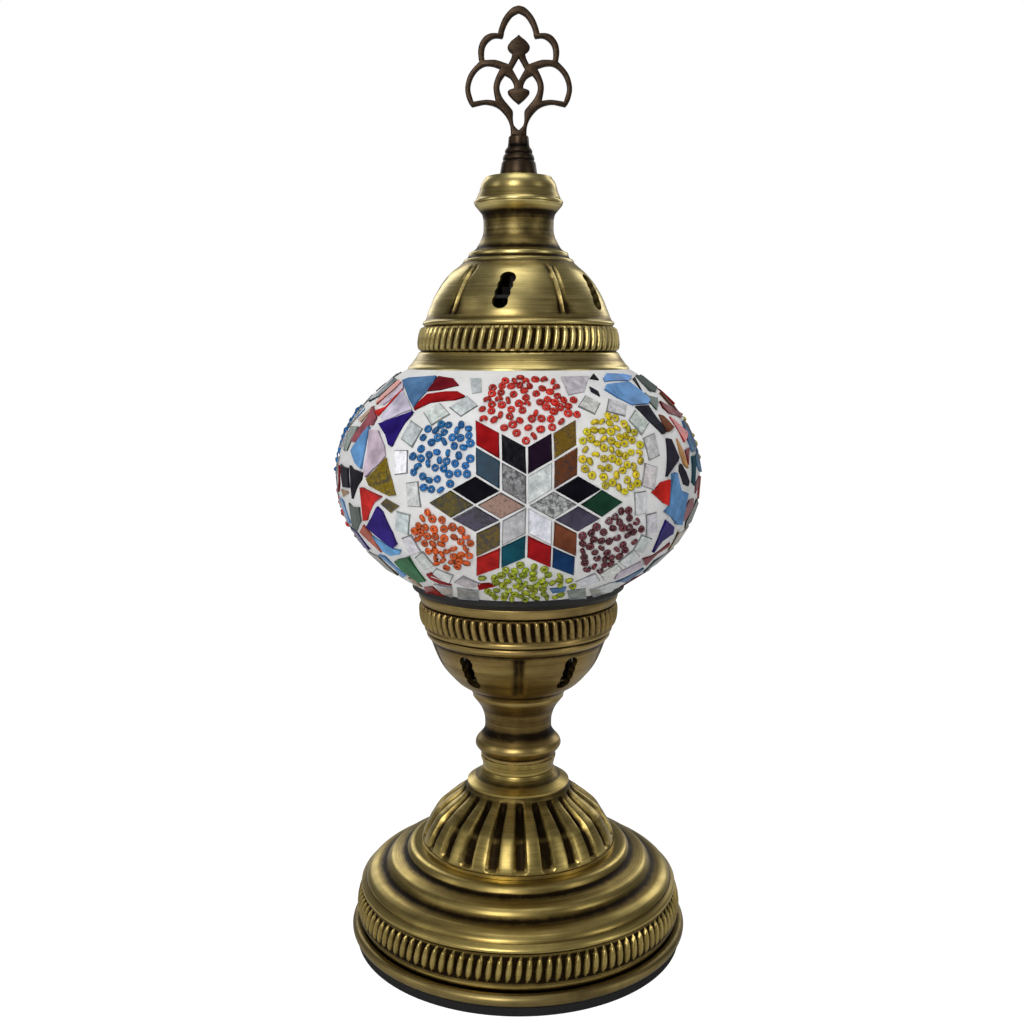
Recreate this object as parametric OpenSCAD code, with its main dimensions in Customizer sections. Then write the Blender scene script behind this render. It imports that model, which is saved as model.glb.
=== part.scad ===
// Mosaic glass table lamp: a spun brass foot and stem, a mosaic covered glass
// globe held between two lobed brass cups, and a pierced crest finial.
// Millimetres, +Z up, the origin on the table under the lamp's axis, front towards -Y.

/* [Overall] */
// Diameter of the rolled foot ring
foot_d = 124.8; // [106:0.2:150]
// Height of the foot, from the table to the stem
base_h = 64; // [54:0.5:78]
// Height of the stem between the foot and the lower cup
stem_h = 29; // [25:0.5:36]
// Diameter of the globe over its mosaic
globe_d = 131; // [124:0.5:158]
// Height of the whole globe if it closed at both ends
globe_full_h = 97; // [92:0.5:117]

/* [Foot] */
// Thickness of the felt pad
pad_t = 3; // [1.5:0.1:3.2]
// Thickness of the base plate sheet
plate_t = 1.2; // [0.8:0.1:1.5]
// Radius of the rolled edge of the base plate
roll_r = 2.1; // [1.6:0.1:2.5]
// Number of ribs on the foot's gallery strip
foot_ribs = 112; // [60:1:120]
// Number of flutes on the dome
flutes = 22; // [16:1:26]
// Height of a flute over the groove beside it
flute_h = 0.9; // [0.5:0.1:1.1]

/* [Cups and cap] */
// Diameter of the lower cup at its rim
cup_d = 72.8; // [66:0.2:84]
// Height of the lower cup
cup_h = 38.3; // [34:0.1:46]
// Diameter of the top cap at its flared rim
cap_d = 78.8; // [72:0.2:90]
// Height of the top cap
cap_h = 57.3; // [52:0.1:69]
// Number of lobes round the cup and the cap
lobes = 5; // [4:1:6]
// Height of a lobe over the seam beside it
lobe_h = 0.7; // [0.4:0.1:0.9]
// Number of ribs on the gallery strips of the cup and the cap
cup_ribs = 70; // [40:1:76]
// Radius of one round in a scalloped vent
vent_r = 2.7; // [2.2:0.1:3.3]

/* [Globe and mosaic] */
// Thickness of the globe's glass
glass_t = 2; // [1.6:0.1:2.6]
// Thickness of the mosaic over the glass
mosaic_t = 2.5; // [2.2:0.1:3.2]
// Thickness of the grout bed under the tiles
bed_t = 0.6; // [0.4:0.1:0.8]
// Side of one star rhomb, from joint to joint
rhomb = 9.3; // [8.4:0.1:10.4]
// Width of the grout joint between two tiles
joint_w = 1.1; // [0.7:0.1:1.6]
// Number of medallions round the globe
medallions = 3; // [2:1:3]

/* [Hardware] */
// Outer radius of the M10 pipe that ties the stack together
pipe_r = 5; // [4.5:0.1:5.6]
// Bore radius of the pipe
pipe_bore_r = 3.8; // [3:0.1:4]
// Radial clearance of the pipe in its holes
pipe_gap = 0.15; // [0.1:0.05:0.3]
// Across flats of the pipe nuts
pipe_nut_af = 14; // [13:0.5:16]
// Radius of the M6 stud that carries the finial
stud_r = 3; // [2.5:0.1:3.2]
// Radial running clearance of the finial on the stud
stud_gap = 0.05; // [0.03:0.01:0.1]
// Radial clearance of the cap on the stud
cap_gap = 0.2; // [0.15:0.05:0.4]
// Radius of the cord grommet's bore
cord_r = 3; // [2.5:0.1:3.3]
// Radius of the bulb's E14 screw cap
bulb_cap_r = 6.9; // [6.8:0.05:7]
// Radial clearance of the screw cap in its shell
bulb_gap = 0.1; // [0.05:0.01:0.12]
// Largest radius of the candle bulb
bulb_r = 17.5; // [15:0.5:17.5]
// Length of the candle bulb's glass
bulb_h = 76; // [66:0.5:80]
// Least distance of the harp's legs from the axis
harp_r = 18.8; // [18.2:0.1:21]
// Least room between the bulb and the harp's legs
harp_room = 1.3; // [0.8:0.1:3]

/* [Finial] */
// Height of the finial over its washer
finial_h = 55.9; // [48:0.1:64]
// Thickness of the crest, front to back
crest_t = 2.6; // [2:0.1:3.4]

/* [Hidden] */
$fn = 96;
brass = [0.72, 0.57, 0.30];
dark_brass = [0.42, 0.33, 0.18];
bronze = [0.25, 0.21, 0.15];
steel = [0.66, 0.67, 0.68];
iron = [0.22, 0.22, 0.23];
black = [0.07, 0.07, 0.07];
cream = [0.90, 0.88, 0.82];
clear = [0.85, 0.90, 0.92, 0.35];

// Clearances
seat_gap = 0.1;
skin_gap = 0.05;
globe_gap = 0.35;
strip_lift = 0.3;
hole_r = pipe_r + pipe_gap;
cap_hole_r = stud_r + cap_gap;

// Scales of the drawn outlines, which are given at the lamp's usual size
foot_k = foot_d / 124.8;
plate_z = pad_t + plate_t;
base_k = (base_h - plate_z) / 59.8;
stem_k = stem_h / 29;
cup_k = cup_d / 72.8;
cup_kz = cup_h / 38.3;
cap_k = cap_d / 78.8;
cap_kz = cap_h / 57.3;

// The stack, from the table up
collar_z = base_h;
vase_z = collar_z + 5 * stem_k;
cup_z = base_h + stem_h;
cup_top = cup_z + cup_h;
glass_a = globe_d / 2 - mosaic_t;
glass_b = globe_full_h / 2 - mosaic_t;
bed_a = glass_a + skin_gap + bed_t;
bed_b = glass_b + skin_gap + bed_t;
cup_rim_r = cup_d / 2;
cap_rim_r = cap_d / 2;
globe_z = cup_top + 3.9 + arc_z(bed_a, bed_b, cup_rim_r);
cap_z = globe_z + arc_z(bed_a, bed_b, cap_rim_r) + 1.1;
cap_top = cap_z + cap_h;
collar_h = 9;
washer_z = cap_top + collar_h;
washer_t = 1;
finial_z = washer_z + washer_t;

// Under the foot
raise_z = pad_t + 3.9;
nut_t = 2.8;
disc_t = 0.8;
pipe_z = raise_z - disc_t - nut_t;

// Inside the cup and the globe
bowl = cup([[20, 96], [21.6, 97], [23, 98], [25, 100], [26.7, 102], [28.1, 104],
  [29.2, 106], [30.1, 108], [30.9, 110], [31.6, 112], [32.3, 114]]);
bowl_core = inset(bowl, lobe_h + 1);
cup_floor = cup_z + 1.2;
cup_disc_t = 1;
cup_nut_t = 3;
harp_t = 1.5;
harp_leg = 1.2;
harp_in = max(harp_r, bulb_r + harp_room);
harp_out = harp_in + harp_leg;
// The harp's foot stands on the nut, or higher where a narrower cup would touch its ends
harp_z = max(cup_floor + cup_disc_t + cup_nut_t, lookup(harp_out + seat_gap, bowl_core));
cup_nut_h = harp_z - cup_floor - cup_disc_t;
socket_z = harp_z + harp_t;
socket_r = 14;
socket_floor = socket_z + 8.1;
pipe_top = socket_floor - 1;
shell_z = socket_floor + 2;
shell_r = bulb_cap_r + bulb_gap;
shell_top = shell_z + 26;
bulb_tip_z = shell_z + 4.7;
bulb_cap_z = bulb_tip_z + 2.8;
bulb_z = shell_top + 1;
harp_top = cap_z + 26;
harp_w = 8;
stud_nut_t = 2.8;
stud_z = harp_top - 5.5;
stud_top = finial_z + 6;
neck_r = 33.2 * cup_k;
neck_top_r = 31.8 * cap_k;
neck_z = cup_top - 1.8;
neck_top_z = cap_z + 5.8;

// Cord inlet, low at the back of the foot on the right
inlet_turn = 55;
inlet_z = plate_z + 11.2 * base_k;
inlet_out = 63 * foot_k;
// The grommet's inner flange lies just inside the foot's wall
inlet_in = 56.8 * foot_k - 2.4;

// Turn of the lobes' seams round the cup and the cap, and of the first medallion
cup_turn = -90;
cap_turn = -62;
medallion_turn = -88;

// ---- Helpers ----
function reverse(p) = [for (i = [len(p) - 1:-1:0]) p[i]];
function fit(p, kr, kz, z0, z1) = [for (q = p) [q[0] * kr, z1 + (q[1] - z0) * kz]];
function arc_z(a, b, r) = b * sqrt(1 - pow(r / a, 2));
function unit(v) = v / norm(v);
function side(a, b) = unit([b[1] - a[1], a[0] - b[0]]);
// Moves an open outline sideways by d, to its left as it is drawn when d is positive
function inset(p, d) = [for (i = [0:len(p) - 1])
  let (n0 = side(p[max(i - 1, 0)], p[max(i, 1)]),
       n1 = side(p[min(i, len(p) - 2)], p[min(i + 1, len(p) - 1)]),
       n = unit(n0 + n1))
  p[i] - n * d / (n * n1)];
function oval(a, b, r0, r1, n) = let (t0 = acos(r0 / a), t1 = acos(r1 / a))
  [for (i = [0:n]) let (t = -t0 + (t0 + t1) * i / n) [a * cos(t), b * sin(t)]];

module turned(p) {
  rotate_extrude() polygon(p);
}

// Raised ribs: n equal pieces of one turned section, each filling part of its pitch
module ribs(n, part, p) {
  for (i = [0:n - 1])
    rotate([0, 0, (i - part / 2) * 360 / n])
      rotate_extrude(angle = part * 360 / n) polygon(p);
}

module hex_nut(af, r, h) {
  difference() {
    cylinder(r = af / sqrt(3), h = h, $fn = 6);
    translate([0, 0, -1]) cylinder(r = r, h = h + 2, $fn = 96);
  }
}

module disc(r, hole, h) {
  difference() {
    cylinder(r = r, h = h);
    translate([0, 0, -1]) cylinder(r = hole, h = h + 2);
  }
}

// ---- Foot ----
module felt_pad() {
  color(black) cylinder(r = 60.6 * foot_k, h = pad_t);
}

module base_plate() {
  edge = 60.3 * foot_k;
  color(dark_brass) rotate_extrude() {
    polygon([[hole_r, raise_z], [18, raise_z], [20.5, pad_t], [edge, pad_t],
      [edge, plate_z], [21.2, plate_z], [18.7, raise_z + plate_t],
      [hole_r, raise_z + plate_t]]);
    translate([edge, pad_t + 0.5 + roll_r]) circle(r = roll_r);
  }
}

module base_washer() {
  color(steel) translate([0, 0, raise_z - disc_t]) disc(9.5, hole_r, disc_t);
}

module base_nut() {
  color(steel) translate([0, 0, pipe_z]) hex_nut(pipe_nut_af, hole_r, nut_t);
}

module base_weight() {
  color(iron) translate([0, 0, plate_z]) difference() {
    disc(51 * foot_k, 22, 13.5 * base_k);
    rotate([0, 0, inlet_turn])
      translate([0, -4.5, 5 * base_k]) cube([60 * foot_k, 9, 20 * base_k]);
  }
}

function foot(p) = fit(p, foot_k, base_k, 4.2, plate_z);

foot_face = foot([[57.9, 4.2], [57.9, 7.4], [59, 8.4], [59, 9.9], [57.2, 20.4],
  [58.9, 21], [58.9, 21.9], [57.5, 23.3], [56.6, 23.9], [56.2, 24.9], [54.2, 26.2],
  [52.3, 26.9], [51, 27.2], [49.5, 28.2], [48.4, 29.6], [47.9, 30.5], [46.5, 31.2],
  [44, 32], [42, 32.9], [40.9, 34.4], [40.2, 35.2], [39, 35.6], [30, 35.8]]);
foot_core = foot([[56.8, 4.2], [56.8, 9.2], [57.4, 10.6], [56, 20], [57, 21.4],
  [56.3, 22.6], [54.6, 24.4], [52, 25.7], [50.2, 26.2], [48.6, 27.3], [47.3, 29],
  [46.9, 29.6], [45.6, 30.3], [43.4, 31], [41.2, 31.9], [40, 33.4], [39.3, 34.3],
  [30, 34.6]]);

module inlet(r, h) {
  rotate([0, 0, inlet_turn]) translate([inlet_out - h, 0, inlet_z])
    rotate([0, 90, 0]) cylinder(r = r, h = h);
}

module base_shell() {
  color(brass) difference() {
    turned(concat(foot_face, reverse(foot_core)));
    inlet(cord_r + 1.1, 12);
  }
}

// A thin pressed strip of ribs that is soldered round the foot
foot_band = foot([[59.1, 10.1], [60.3, 10.1], [58.5, 20.3], [57.3, 20.3]]);
foot_rib = foot([[59.9, 10.3], [60.8, 10.3], [61.4, 11.3], [61, 13.5], [59.9, 18.5],
  [59, 20.1], [58.3, 20.1]]);

module foot_gallery() {
  color(brass) difference() {
    translate([0, 0, strip_lift / 3]) union() {
      turned([for (q = foot_band) q + [seat_gap, 0]]);
      ribs(foot_ribs, 0.66, foot_rib);
    }
    inlet(cord_r + 1.1, 12);
  }
}

module cord_grommet() {
  color(black) difference() {
    union() {
      inlet(cord_r + 1, inlet_out - inlet_in);
      inlet(cord_r + 2.2, 1.3);
      translate(-(inlet_out - inlet_in - 1.4) * [cos(inlet_turn), sin(inlet_turn), 0])
        inlet(cord_r + 2.4, 1.4);
    }
    inlet(cord_r, 20);
  }
}

crown = foot([[35.8, 37.1], [35.6, 38.5], [34.9, 40.5], [34, 42.4], [32.9, 44.2],
  [31.7, 46.2], [30.3, 48.1], [28.1, 50], [25.7, 52], [22.9, 54], [20.5, 56],
  [19.2, 57.7]]);

module fluted_dome() {
  face = inset(crown, flute_h);
  core = inset(crown, flute_h + 1.2);
  color(brass) {
    turned(concat(foot([[36.2, 35.8], [36.2, 37.1]]), face,
      foot([[18.9, 58.2], [18.9, 59.2], [17.8, 59.9], [15.5, 61.3], [14.1, 62.6]]),
      [[13.2 * foot_k, base_h], [hole_r, base_h], [hole_r, base_h - 1.2]],
      foot([[12.2, 62.8], [13.1, 61.6], [15.3, 60], [16.8, 58.6]]),
      reverse(core), foot([[34.2, 35.8]])));
    ribs(flutes, 0.66, concat(crown, reverse(inset(crown, flute_h + 0.4))));
  }
}

// ---- Stem ----
module lamp_pipe() {
  color(brass) translate([0, 0, pipe_z])
    disc(pipe_r, pipe_bore_r, pipe_top - pipe_z);
}

function stem(p) = fit(p, foot_k, stem_k, 64, base_h);

module stem_collar() {
  color(brass) turned(concat([[hole_r, base_h]],
    stem([[13, 64], [13.1, 65], [13.4, 66.6], [14, 69], [12.6, 69], [12, 66.6], [11.7, 65.4]]),
    [[hole_r, base_h + 1.4 * stem_k]]));
}

module stem_vase() {
  vase = stem([[13.5, 69], [13.6, 70.2], [14.2, 71], [15, 71.8], [15.8, 73], [15.8, 74.1],
    [15.3, 75.2], [14.6, 76], [13.7, 77], [12.9, 78.1], [12.4, 79.4], [12.3, 81],
    [12.4, 83.2], [12.8, 85], [13.6, 87.2], [14.7, 89], [15.9, 90.6], [16.8, 91.8],
    [16.8, 93]]);
  core = stem([[12.2, 70.4], [12.8, 71.8], [13.9, 73.2], [13.6, 74.4], [12.4, 76],
    [11.3, 78], [10.9, 81], [11.1, 84], [12, 87.2], [13.4, 89.8], [14.8, 91.6]]);
  color(brass) turned(concat([[hole_r, vase_z]], vase, [[hole_r, cup_z]],
    [[hole_r, cup_z - 1.4 * stem_k]], reverse(core), [[hole_r, vase_z + 1.4 * stem_k]]));
}

// ---- Lower cup ----
function cup(p) = fit(p, cup_k, cup_kz, 93, cup_z);

// A scalloped slot of four overlapping rounds, cut square to a sloping wall
module vent(r, z, lean) {
  for (i = [-1.5:1.5])
    translate([r, 0, z]) rotate([0, lean, 0])
      translate([-i * 1.12 * vent_r, 0, -5]) cylinder(r = vent_r, h = 10);
}

module cup_shell() {
  color(brass) difference() {
    union() {
      turned(concat([[hole_r, cup_z]], cup([[17, 93], [17.6, 94], [18.6, 95.4]]),
        inset(bowl, lobe_h),
        cup([[33.6, 115.4], [33.6, 116.4], [33.2, 117.1], [34.4, 117.6], [34.4, 118.6],
          [34.2, 119], [34.6, 127.6], [35.6, 128], [36, 129], [36.4, 130], [36.4, 131.3],
          [35.2, 131.3], [35.2, 130], [34.3, 128.6], [33.4, 127.6], [33, 119],
          [32, 117.4], [31.2, 115.6]]),
        reverse(bowl_core), [[15 * cup_k, cup_floor], [hole_r, cup_floor]]));
      rotate([0, 0, cup_turn + 180 / lobes])
        ribs(lobes, 0.96, concat(bowl, reverse(inset(bowl, lobe_h + 0.4))));
    }
    rotate([0, 0, cup_turn + 180 / lobes])
      for (i = [0:lobes - 1])
        rotate([0, 0, i * 360 / lobes])
          vent(29 * cup_k, cup_z + 13 * cup_kz, 116);
  }
}

cup_band = cup([[34.5, 119.5], [35.4, 119.5], [35.7, 127.3], [34.8, 127.3]]);
cup_rib = cup([[35, 119.7], [35.4, 119.7], [36.1, 121.7], [36.7, 123.6], [36.6, 124.8],
  [36.2, 126.2], [35.7, 127.1], [35.2, 127.1]]);

module cup_gallery() {
  color(brass) union() {
    turned([for (q = cup_band) q + [seat_gap, 0]]);
    ribs(cup_ribs, 0.64, cup_rib);
  }
}

module cup_washer() {
  color(steel) translate([0, 0, cup_floor]) disc(9.5, hole_r, cup_disc_t);
}

module cup_nut() {
  color(steel) translate([0, 0, cup_floor + cup_disc_t]) hex_nut(pipe_nut_af, hole_r, cup_nut_h);
}

// ---- Harp, stud and lamp holder ----
module harp() {
  color(steel) difference() {
    intersection() {
      union() {
        translate([0, 0, harp_z]) cylinder(r = 9, h = harp_t);
        for (z = [harp_z, harp_top - harp_leg])
          translate([-harp_out, -harp_w / 2, z])
            cube([2 * harp_out, harp_w, z == harp_z ? harp_t : harp_leg]);
        for (s = [-1, 1])
          translate([s * (harp_in + harp_leg / 2) - harp_leg / 2, -harp_w / 2, harp_z])
            cube([harp_leg, harp_w, harp_top - harp_z]);
      }
      translate([0, 0, harp_z - 1]) cylinder(r = harp_out, h = harp_top - harp_z + 2);
    }
    translate([0, 0, harp_z - 1]) cylinder(r = hole_r, h = harp_t + 2);
    translate([0, 0, harp_top - 3]) cylinder(r = stud_r + 0.1, h = 5);
  }
}

module stud() {
  color(steel) translate([0, 0, stud_z]) cylinder(r = stud_r, h = stud_top - stud_z);
}

module stud_nuts() {
  color(steel)
    for (z = [harp_top - 1.2 - stud_nut_t, harp_top])
      translate([0, 0, z]) hex_nut(10, stud_r + 0.1, stud_nut_t);
}

module socket_base() {
  color(steel) translate([0, 0, socket_z]) disc(13, hole_r, 5);
}

module socket_body() {
  color(black) difference() {
    translate([0, 0, socket_z + 5]) cylinder(r = socket_r, h = shell_top + 1.5 - socket_z - 5);
    translate([0, 0, socket_z]) cylinder(r = hole_r, h = 20);
    translate([0, 0, socket_floor]) cylinder(r = shell_r + 0.8, h = 40);
  }
}

module socket_contact() {
  color(brass) {
    translate([0, 0, socket_floor]) cylinder(r = shell_r + 0.7, h = 2);
    translate([0, 0, shell_z]) cylinder(r = 2.2, h = 4.5);
  }
}

module socket_screw_shell() {
  color(brass) translate([0, 0, shell_z]) disc(shell_r + 0.6, shell_r, shell_top - shell_z);
}

// ---- Bulb ----
module bulb_cap() {
  color(steel) {
    translate([0, 0, bulb_cap_z]) cylinder(r = bulb_cap_r, h = bulb_z - bulb_cap_z);
  }
}

module bulb_tip() {
  color(brass) translate([0, 0, bulb_tip_z])
    cylinder(r1 = 1.8, r2 = 3.2, h = bulb_cap_z - bulb_tip_z);
}

// Share of the bulb's radius at each share of its height
candle = [[0.36, 0], [0.4, 0.03], [0.62, 0.1], [0.8, 0.17], [0.93, 0.25], [1, 0.36],
  [0.98, 0.46], [0.9, 0.57], [0.76, 0.68], [0.56, 0.79], [0.36, 0.88], [0.19, 0.95],
  [0.09, 0.985]];

module bulb_glass() {
  face = [for (q = candle) [q[0] * bulb_r, bulb_z + q[1] * bulb_h]];
  core = [for (q = candle) [q[0] * (bulb_r - 0.9), bulb_z + 0.6 + q[1] * (bulb_h - 2)]];
  color(clear) turned(concat([[3, bulb_z]], face, [[0, bulb_z + bulb_h]],
    [[0, bulb_z + bulb_h - 1.4]], reverse(core), [[3, bulb_z + 0.6]]));
}

module filament_stem() {
  color(clear) turned([[0, bulb_z], [2.8, bulb_z], [2.8, bulb_z + 9], [1.4, bulb_z + 14],
    [1, bulb_z + 44], [0, bulb_z + 44]]);
}

module led_filaments() {
  color([0.95, 0.80, 0.35])
    for (i = [0:3])
      rotate([0, 0, 45 + i * 90]) {
        translate([5.5, 0, bulb_z + 11]) cylinder(r = 0.9, h = 30);
        translate([1.05, -0.25, bulb_z + 41]) cube([4.6, 0.5, 0.5]);
      }
}

// ---- Globe ----
module bottom_gasket() {
  lip = cup_rim_r + 2.2;
  inner = cup_rim_r - 2.4;
  color(black) turned([[inner, cup_top], [cup_rim_r, cup_top], [lip, cup_top + 1.9],
    [lip, globe_z - arc_z(bed_a, bed_b, lip) - globe_gap - 0.35],
    [cup_rim_r, globe_z - arc_z(bed_a, bed_b, cup_rim_r) - globe_gap - 0.1],
    [inner, globe_z - arc_z(bed_a, bed_b, inner) - globe_gap]]);
}

// A closed outline between two ovals, open at the two necks
function skin(a, b, t, r0, r1) = [for (p = concat(oval(a, b, r0, r1, 40),
  reverse(oval(a - t, b - t, r0 - 0.02, r1 - 0.02, 40)))) p + [0, globe_z]];

module globe_glass() {
  face = [for (p = oval(glass_a, glass_b, neck_r, neck_top_r, 40)) p + [0, globe_z]];
  core = [for (p = oval(glass_a - glass_t, glass_b - glass_t, neck_r - glass_t,
    neck_top_r - glass_t, 40)) p + [0, globe_z]];
  color(clear) turned(concat([[neck_r - glass_t, neck_z], [neck_r, neck_z]], face,
    [[neck_top_r, neck_top_z], [neck_top_r - glass_t, neck_top_z]], reverse(core)));
}

module mosaic_bed() {
  color(cream) turned(skin(bed_a, bed_b, bed_t, neck_r + 0.4, neck_top_r + 0.4));
}

// Latitude angle of a height v measured along the globe from its middle
function lat(v) = let (b = bed_b, c = (bed_a * bed_a - b * b) / (6 * b), s = v / b)
  (s - c / b * pow(s, 3) * (1 - 0.5 * s * s * c / b)) * 180 / PI;
// Rotation and place of a flat tile that lies on the bed at (u right, v up), in mm
function tile_frame(turn, u, v) = let (t = lat(v),
    lon = turn + u / (bed_a * cos(t)) * 180 / PI,
    n = unit([cos(lon) * cos(t) / bed_a, sin(lon) * cos(t) / bed_a, sin(t) / bed_b]),
    e = [-sin(lon), cos(lon), 0],
    f = cross(n, e),
    p = [bed_a * cos(t) * cos(lon), bed_a * cos(t) * sin(lon), bed_b * sin(t) + globe_z]
      + n * skin_gap)
  [[e[0], f[0], n[0], p[0]], [e[1], f[1], n[1], p[1]], [e[2], f[2], n[2], p[2]], [0, 0, 0, 1]];

tile_t = mosaic_t - bed_t - 0.3;
medallion_v = -2.5;

module on_globe(k, s, turn) {
  multmatrix(tile_frame(medallion_turn + k * 360 / medallions, s * sin(turn),
    medallion_v + s * cos(turn)))
    rotate([0, 0, -turn]) children();
}

module star_tiles() {
  half = (rhomb - joint_w / sin(60)) * cos(30);
  wide = half * tan(30);
  color([0.16, 0.42, 0.48])
    for (k = [0:medallions - 1])
      for (arm = [30:60:330])
        for (q = [[0, 0.5], [0, 1.5], [-0.5, 1], [0.5, 1]]) {
          x = q[0] * rhomb;
          y = 2 * q[1] * rhomb * cos(30);
          on_globe(k, norm([x, y]), arm + atan2(x, y))
            rotate([0, 0, atan2(x, y)])
              linear_extrude(tile_t) polygon([[0, half], [wide, 0], [0, -half], [-wide, 0]]);
        }
}

module border_tiles() {
  color([0.80, 0.84, 0.86])
    for (k = [0:medallions - 1])
      for (i = [0:23])
        on_globe(k, i % 4 == 0 ? 43.5 : (i % 4 == 2 ? 46.5 : 45), i * 15)
          translate([-4.2, -2.1, 0]) cube([8.4, 4.2, tile_t]);
}

// Each cluster is a patch of glass seed beads between two arms of the star
module bead_clusters() {
  color([0.80, 0.35, 0.20])
    for (k = [0:medallions - 1])
      for (arm = [0:60:300])
        on_globe(k, 30, arm)
          for (row = [-2:2])
            for (i = [0:abs(row) == 2 ? 1 : (abs(row) == 1 ? 2 : 3)])
              translate([(i - (abs(row) == 2 ? 0.5 : (abs(row) == 1 ? 1 : 1.5))) * 2.9,
                row * 2.5, 0])
                cylinder(r = 1.25, h = tile_t + 0.2);
}

module field_tiles() {
  color([0.48, 0.14, 0.20])
    for (k = [0:medallions - 1]) {
      turn = medallion_turn + (k + 0.5) * 360 / medallions;
      for (v = [-24:9.6:24])
        for (u = abs(v) < 8 ? [-10.5:7:10.5] : [-14:7:14])
          multmatrix(tile_frame(turn, u, v))
            linear_extrude(tile_t) polygon([[-3, -4], [3, -3.4], [2.6, 4], [-2.4, 3.4]]);
    }
}

// ---- Cap ----
function cap(p) = fit(p, cap_k, cap_kz, 211.2, cap_z);

dome = cap([[32.6, 229], [31.8, 231], [31, 233], [30.2, 235], [29.2, 237], [28, 239],
  [26.7, 241], [25.1, 243], [23.2, 245], [20.9, 247]]);

module top_gasket() {
  r0 = 33.6 * cap_k;
  r1 = 36.7 * cap_k;
  top = cap_z + 3.4 * cap_kz;
  color(black) turned([
    [r0, min(top - 0.4, globe_z + arc_z(bed_a, bed_b, r0) + globe_gap)],
    [r1, globe_z + arc_z(bed_a, bed_b, r1) + globe_gap + 0.15], [r1, top], [r0, top]]);
}

module cap_shell() {
  color(brass) difference() {
    union() {
      turned(concat(
        cap([[39.4, 211.2], [39.2, 212], [38.1, 213], [37.4, 214], [36.6, 215], [36, 216],
          [35.5, 217], [34.6, 217.5], [33.2, 226.3], [33.9, 226.8], [33.9, 227.7],
          [33, 228.2]]),
        inset(dome, lobe_h),
        cap([[19.6, 248.2], [19.3, 249.2], [18.1, 249.7], [17.6, 250.6], [17.5, 251.6],
          [16.2, 252.1], [15, 253], [13.8, 255], [12.8, 257], [12.3, 259], [12.3, 263],
          [12.8, 265], [14.5, 267], [15.4, 268.2], [15.4, 268.5]]),
        [[cap_hole_r, cap_top], [cap_hole_r, cap_top - 1.2 * cap_kz]],
        cap([[12.6, 267.3], [11.5, 265.4], [11.1, 263], [11.1, 259], [11.7, 256.6],
          [12.8, 254.2], [13.9, 252.4], [15.4, 251], [16.4, 249], [17.4, 247.4]]),
        reverse(inset(dome, lobe_h + 1)),
        cap([[31.6, 228], [32, 226.4], [33.3, 218], [33.3, 214.6], [37, 214.6],
          [37, 213.8], [37.7, 212.6], [38.2, 211.2]])));
      rotate([0, 0, cap_turn + 180 / lobes])
        ribs(lobes, 0.96, concat(dome, reverse(inset(dome, lobe_h + 0.4))));
    }
    rotate([0, 0, cap_turn + 180 / lobes])
      for (i = [0:lobes - 1])
        rotate([0, 0, i * 360 / lobes])
          vent(29 * cap_k, cap_z + 25.3 * cap_kz, 62);
  }
}

cap_band = cap([[34.7, 217.7], [35.4, 217.7], [34.2, 226.1], [33.3, 226.1]]);
cap_rib = cap([[34.9, 217.9], [35.6, 217.9], [36.1, 219.6], [36.2, 221.2], [35.9, 223],
  [35.3, 224.7], [34.6, 225.9], [33.9, 225.9]]);

module cap_gallery() {
  color(brass) union() {
    turned([for (q = cap_band) q + [seat_gap, 0]]);
    ribs(cup_ribs, 0.64, cap_rib);
  }
}

module cap_collar() {
  z = cap_top;
  k = cap_k;
  color(brass) turned([[13.4 * k, z], [15.6 * k, z], [15.6 * k, z + 0.8], [14.8 * k, z + 1.5],
    [14.4 * k, z + 2.5], [14 * k, z + 3.5], [13.6 * k, z + 4.5], [13.4 * k, z + 5.5],
    [13.1 * k, z + 6.5], [12.6 * k, z + 7.5], [11.6 * k, z + 8.5], [11.6 * k, z + 9],
    [cap_hole_r, z + 9], [cap_hole_r, z + 7.8], [10.8 * k, z + 7.8], [11.7 * k, z + 6.4],
    [12.1 * k, z + 4.4], [13 * k, z + 1.8]]);
}

// ---- Finial ----
module finial_washer() {
  color(dark_brass) translate([0, 0, washer_z]) disc(6.6, cap_hole_r, washer_t);
}

function between(a, b, c, d, t) = 0.5 * (2 * b + (c - a) * t
  + (2 * a - 5 * b + 4 * c - d) * t * t + (3 * b - 3 * c + d - a) * t * t * t);
// A smooth curve through one run of points, and an outline of several runs with corners between
function run(p) = [for (i = [0:len(p) - 2], j = [0:2])
  between(p[max(i - 1, 0)], p[i], p[i + 1], p[min(i + 2, len(p) - 1)], j / 3)];
function outline(l) = concat([for (r = l) each run(r)], [l[len(l) - 1][len(l[len(l) - 1]) - 1]]);
function flip(p) = [for (q = reverse(p)) [-q[0], q[1]]];
function both(p) = concat(p, flip(p));

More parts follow.
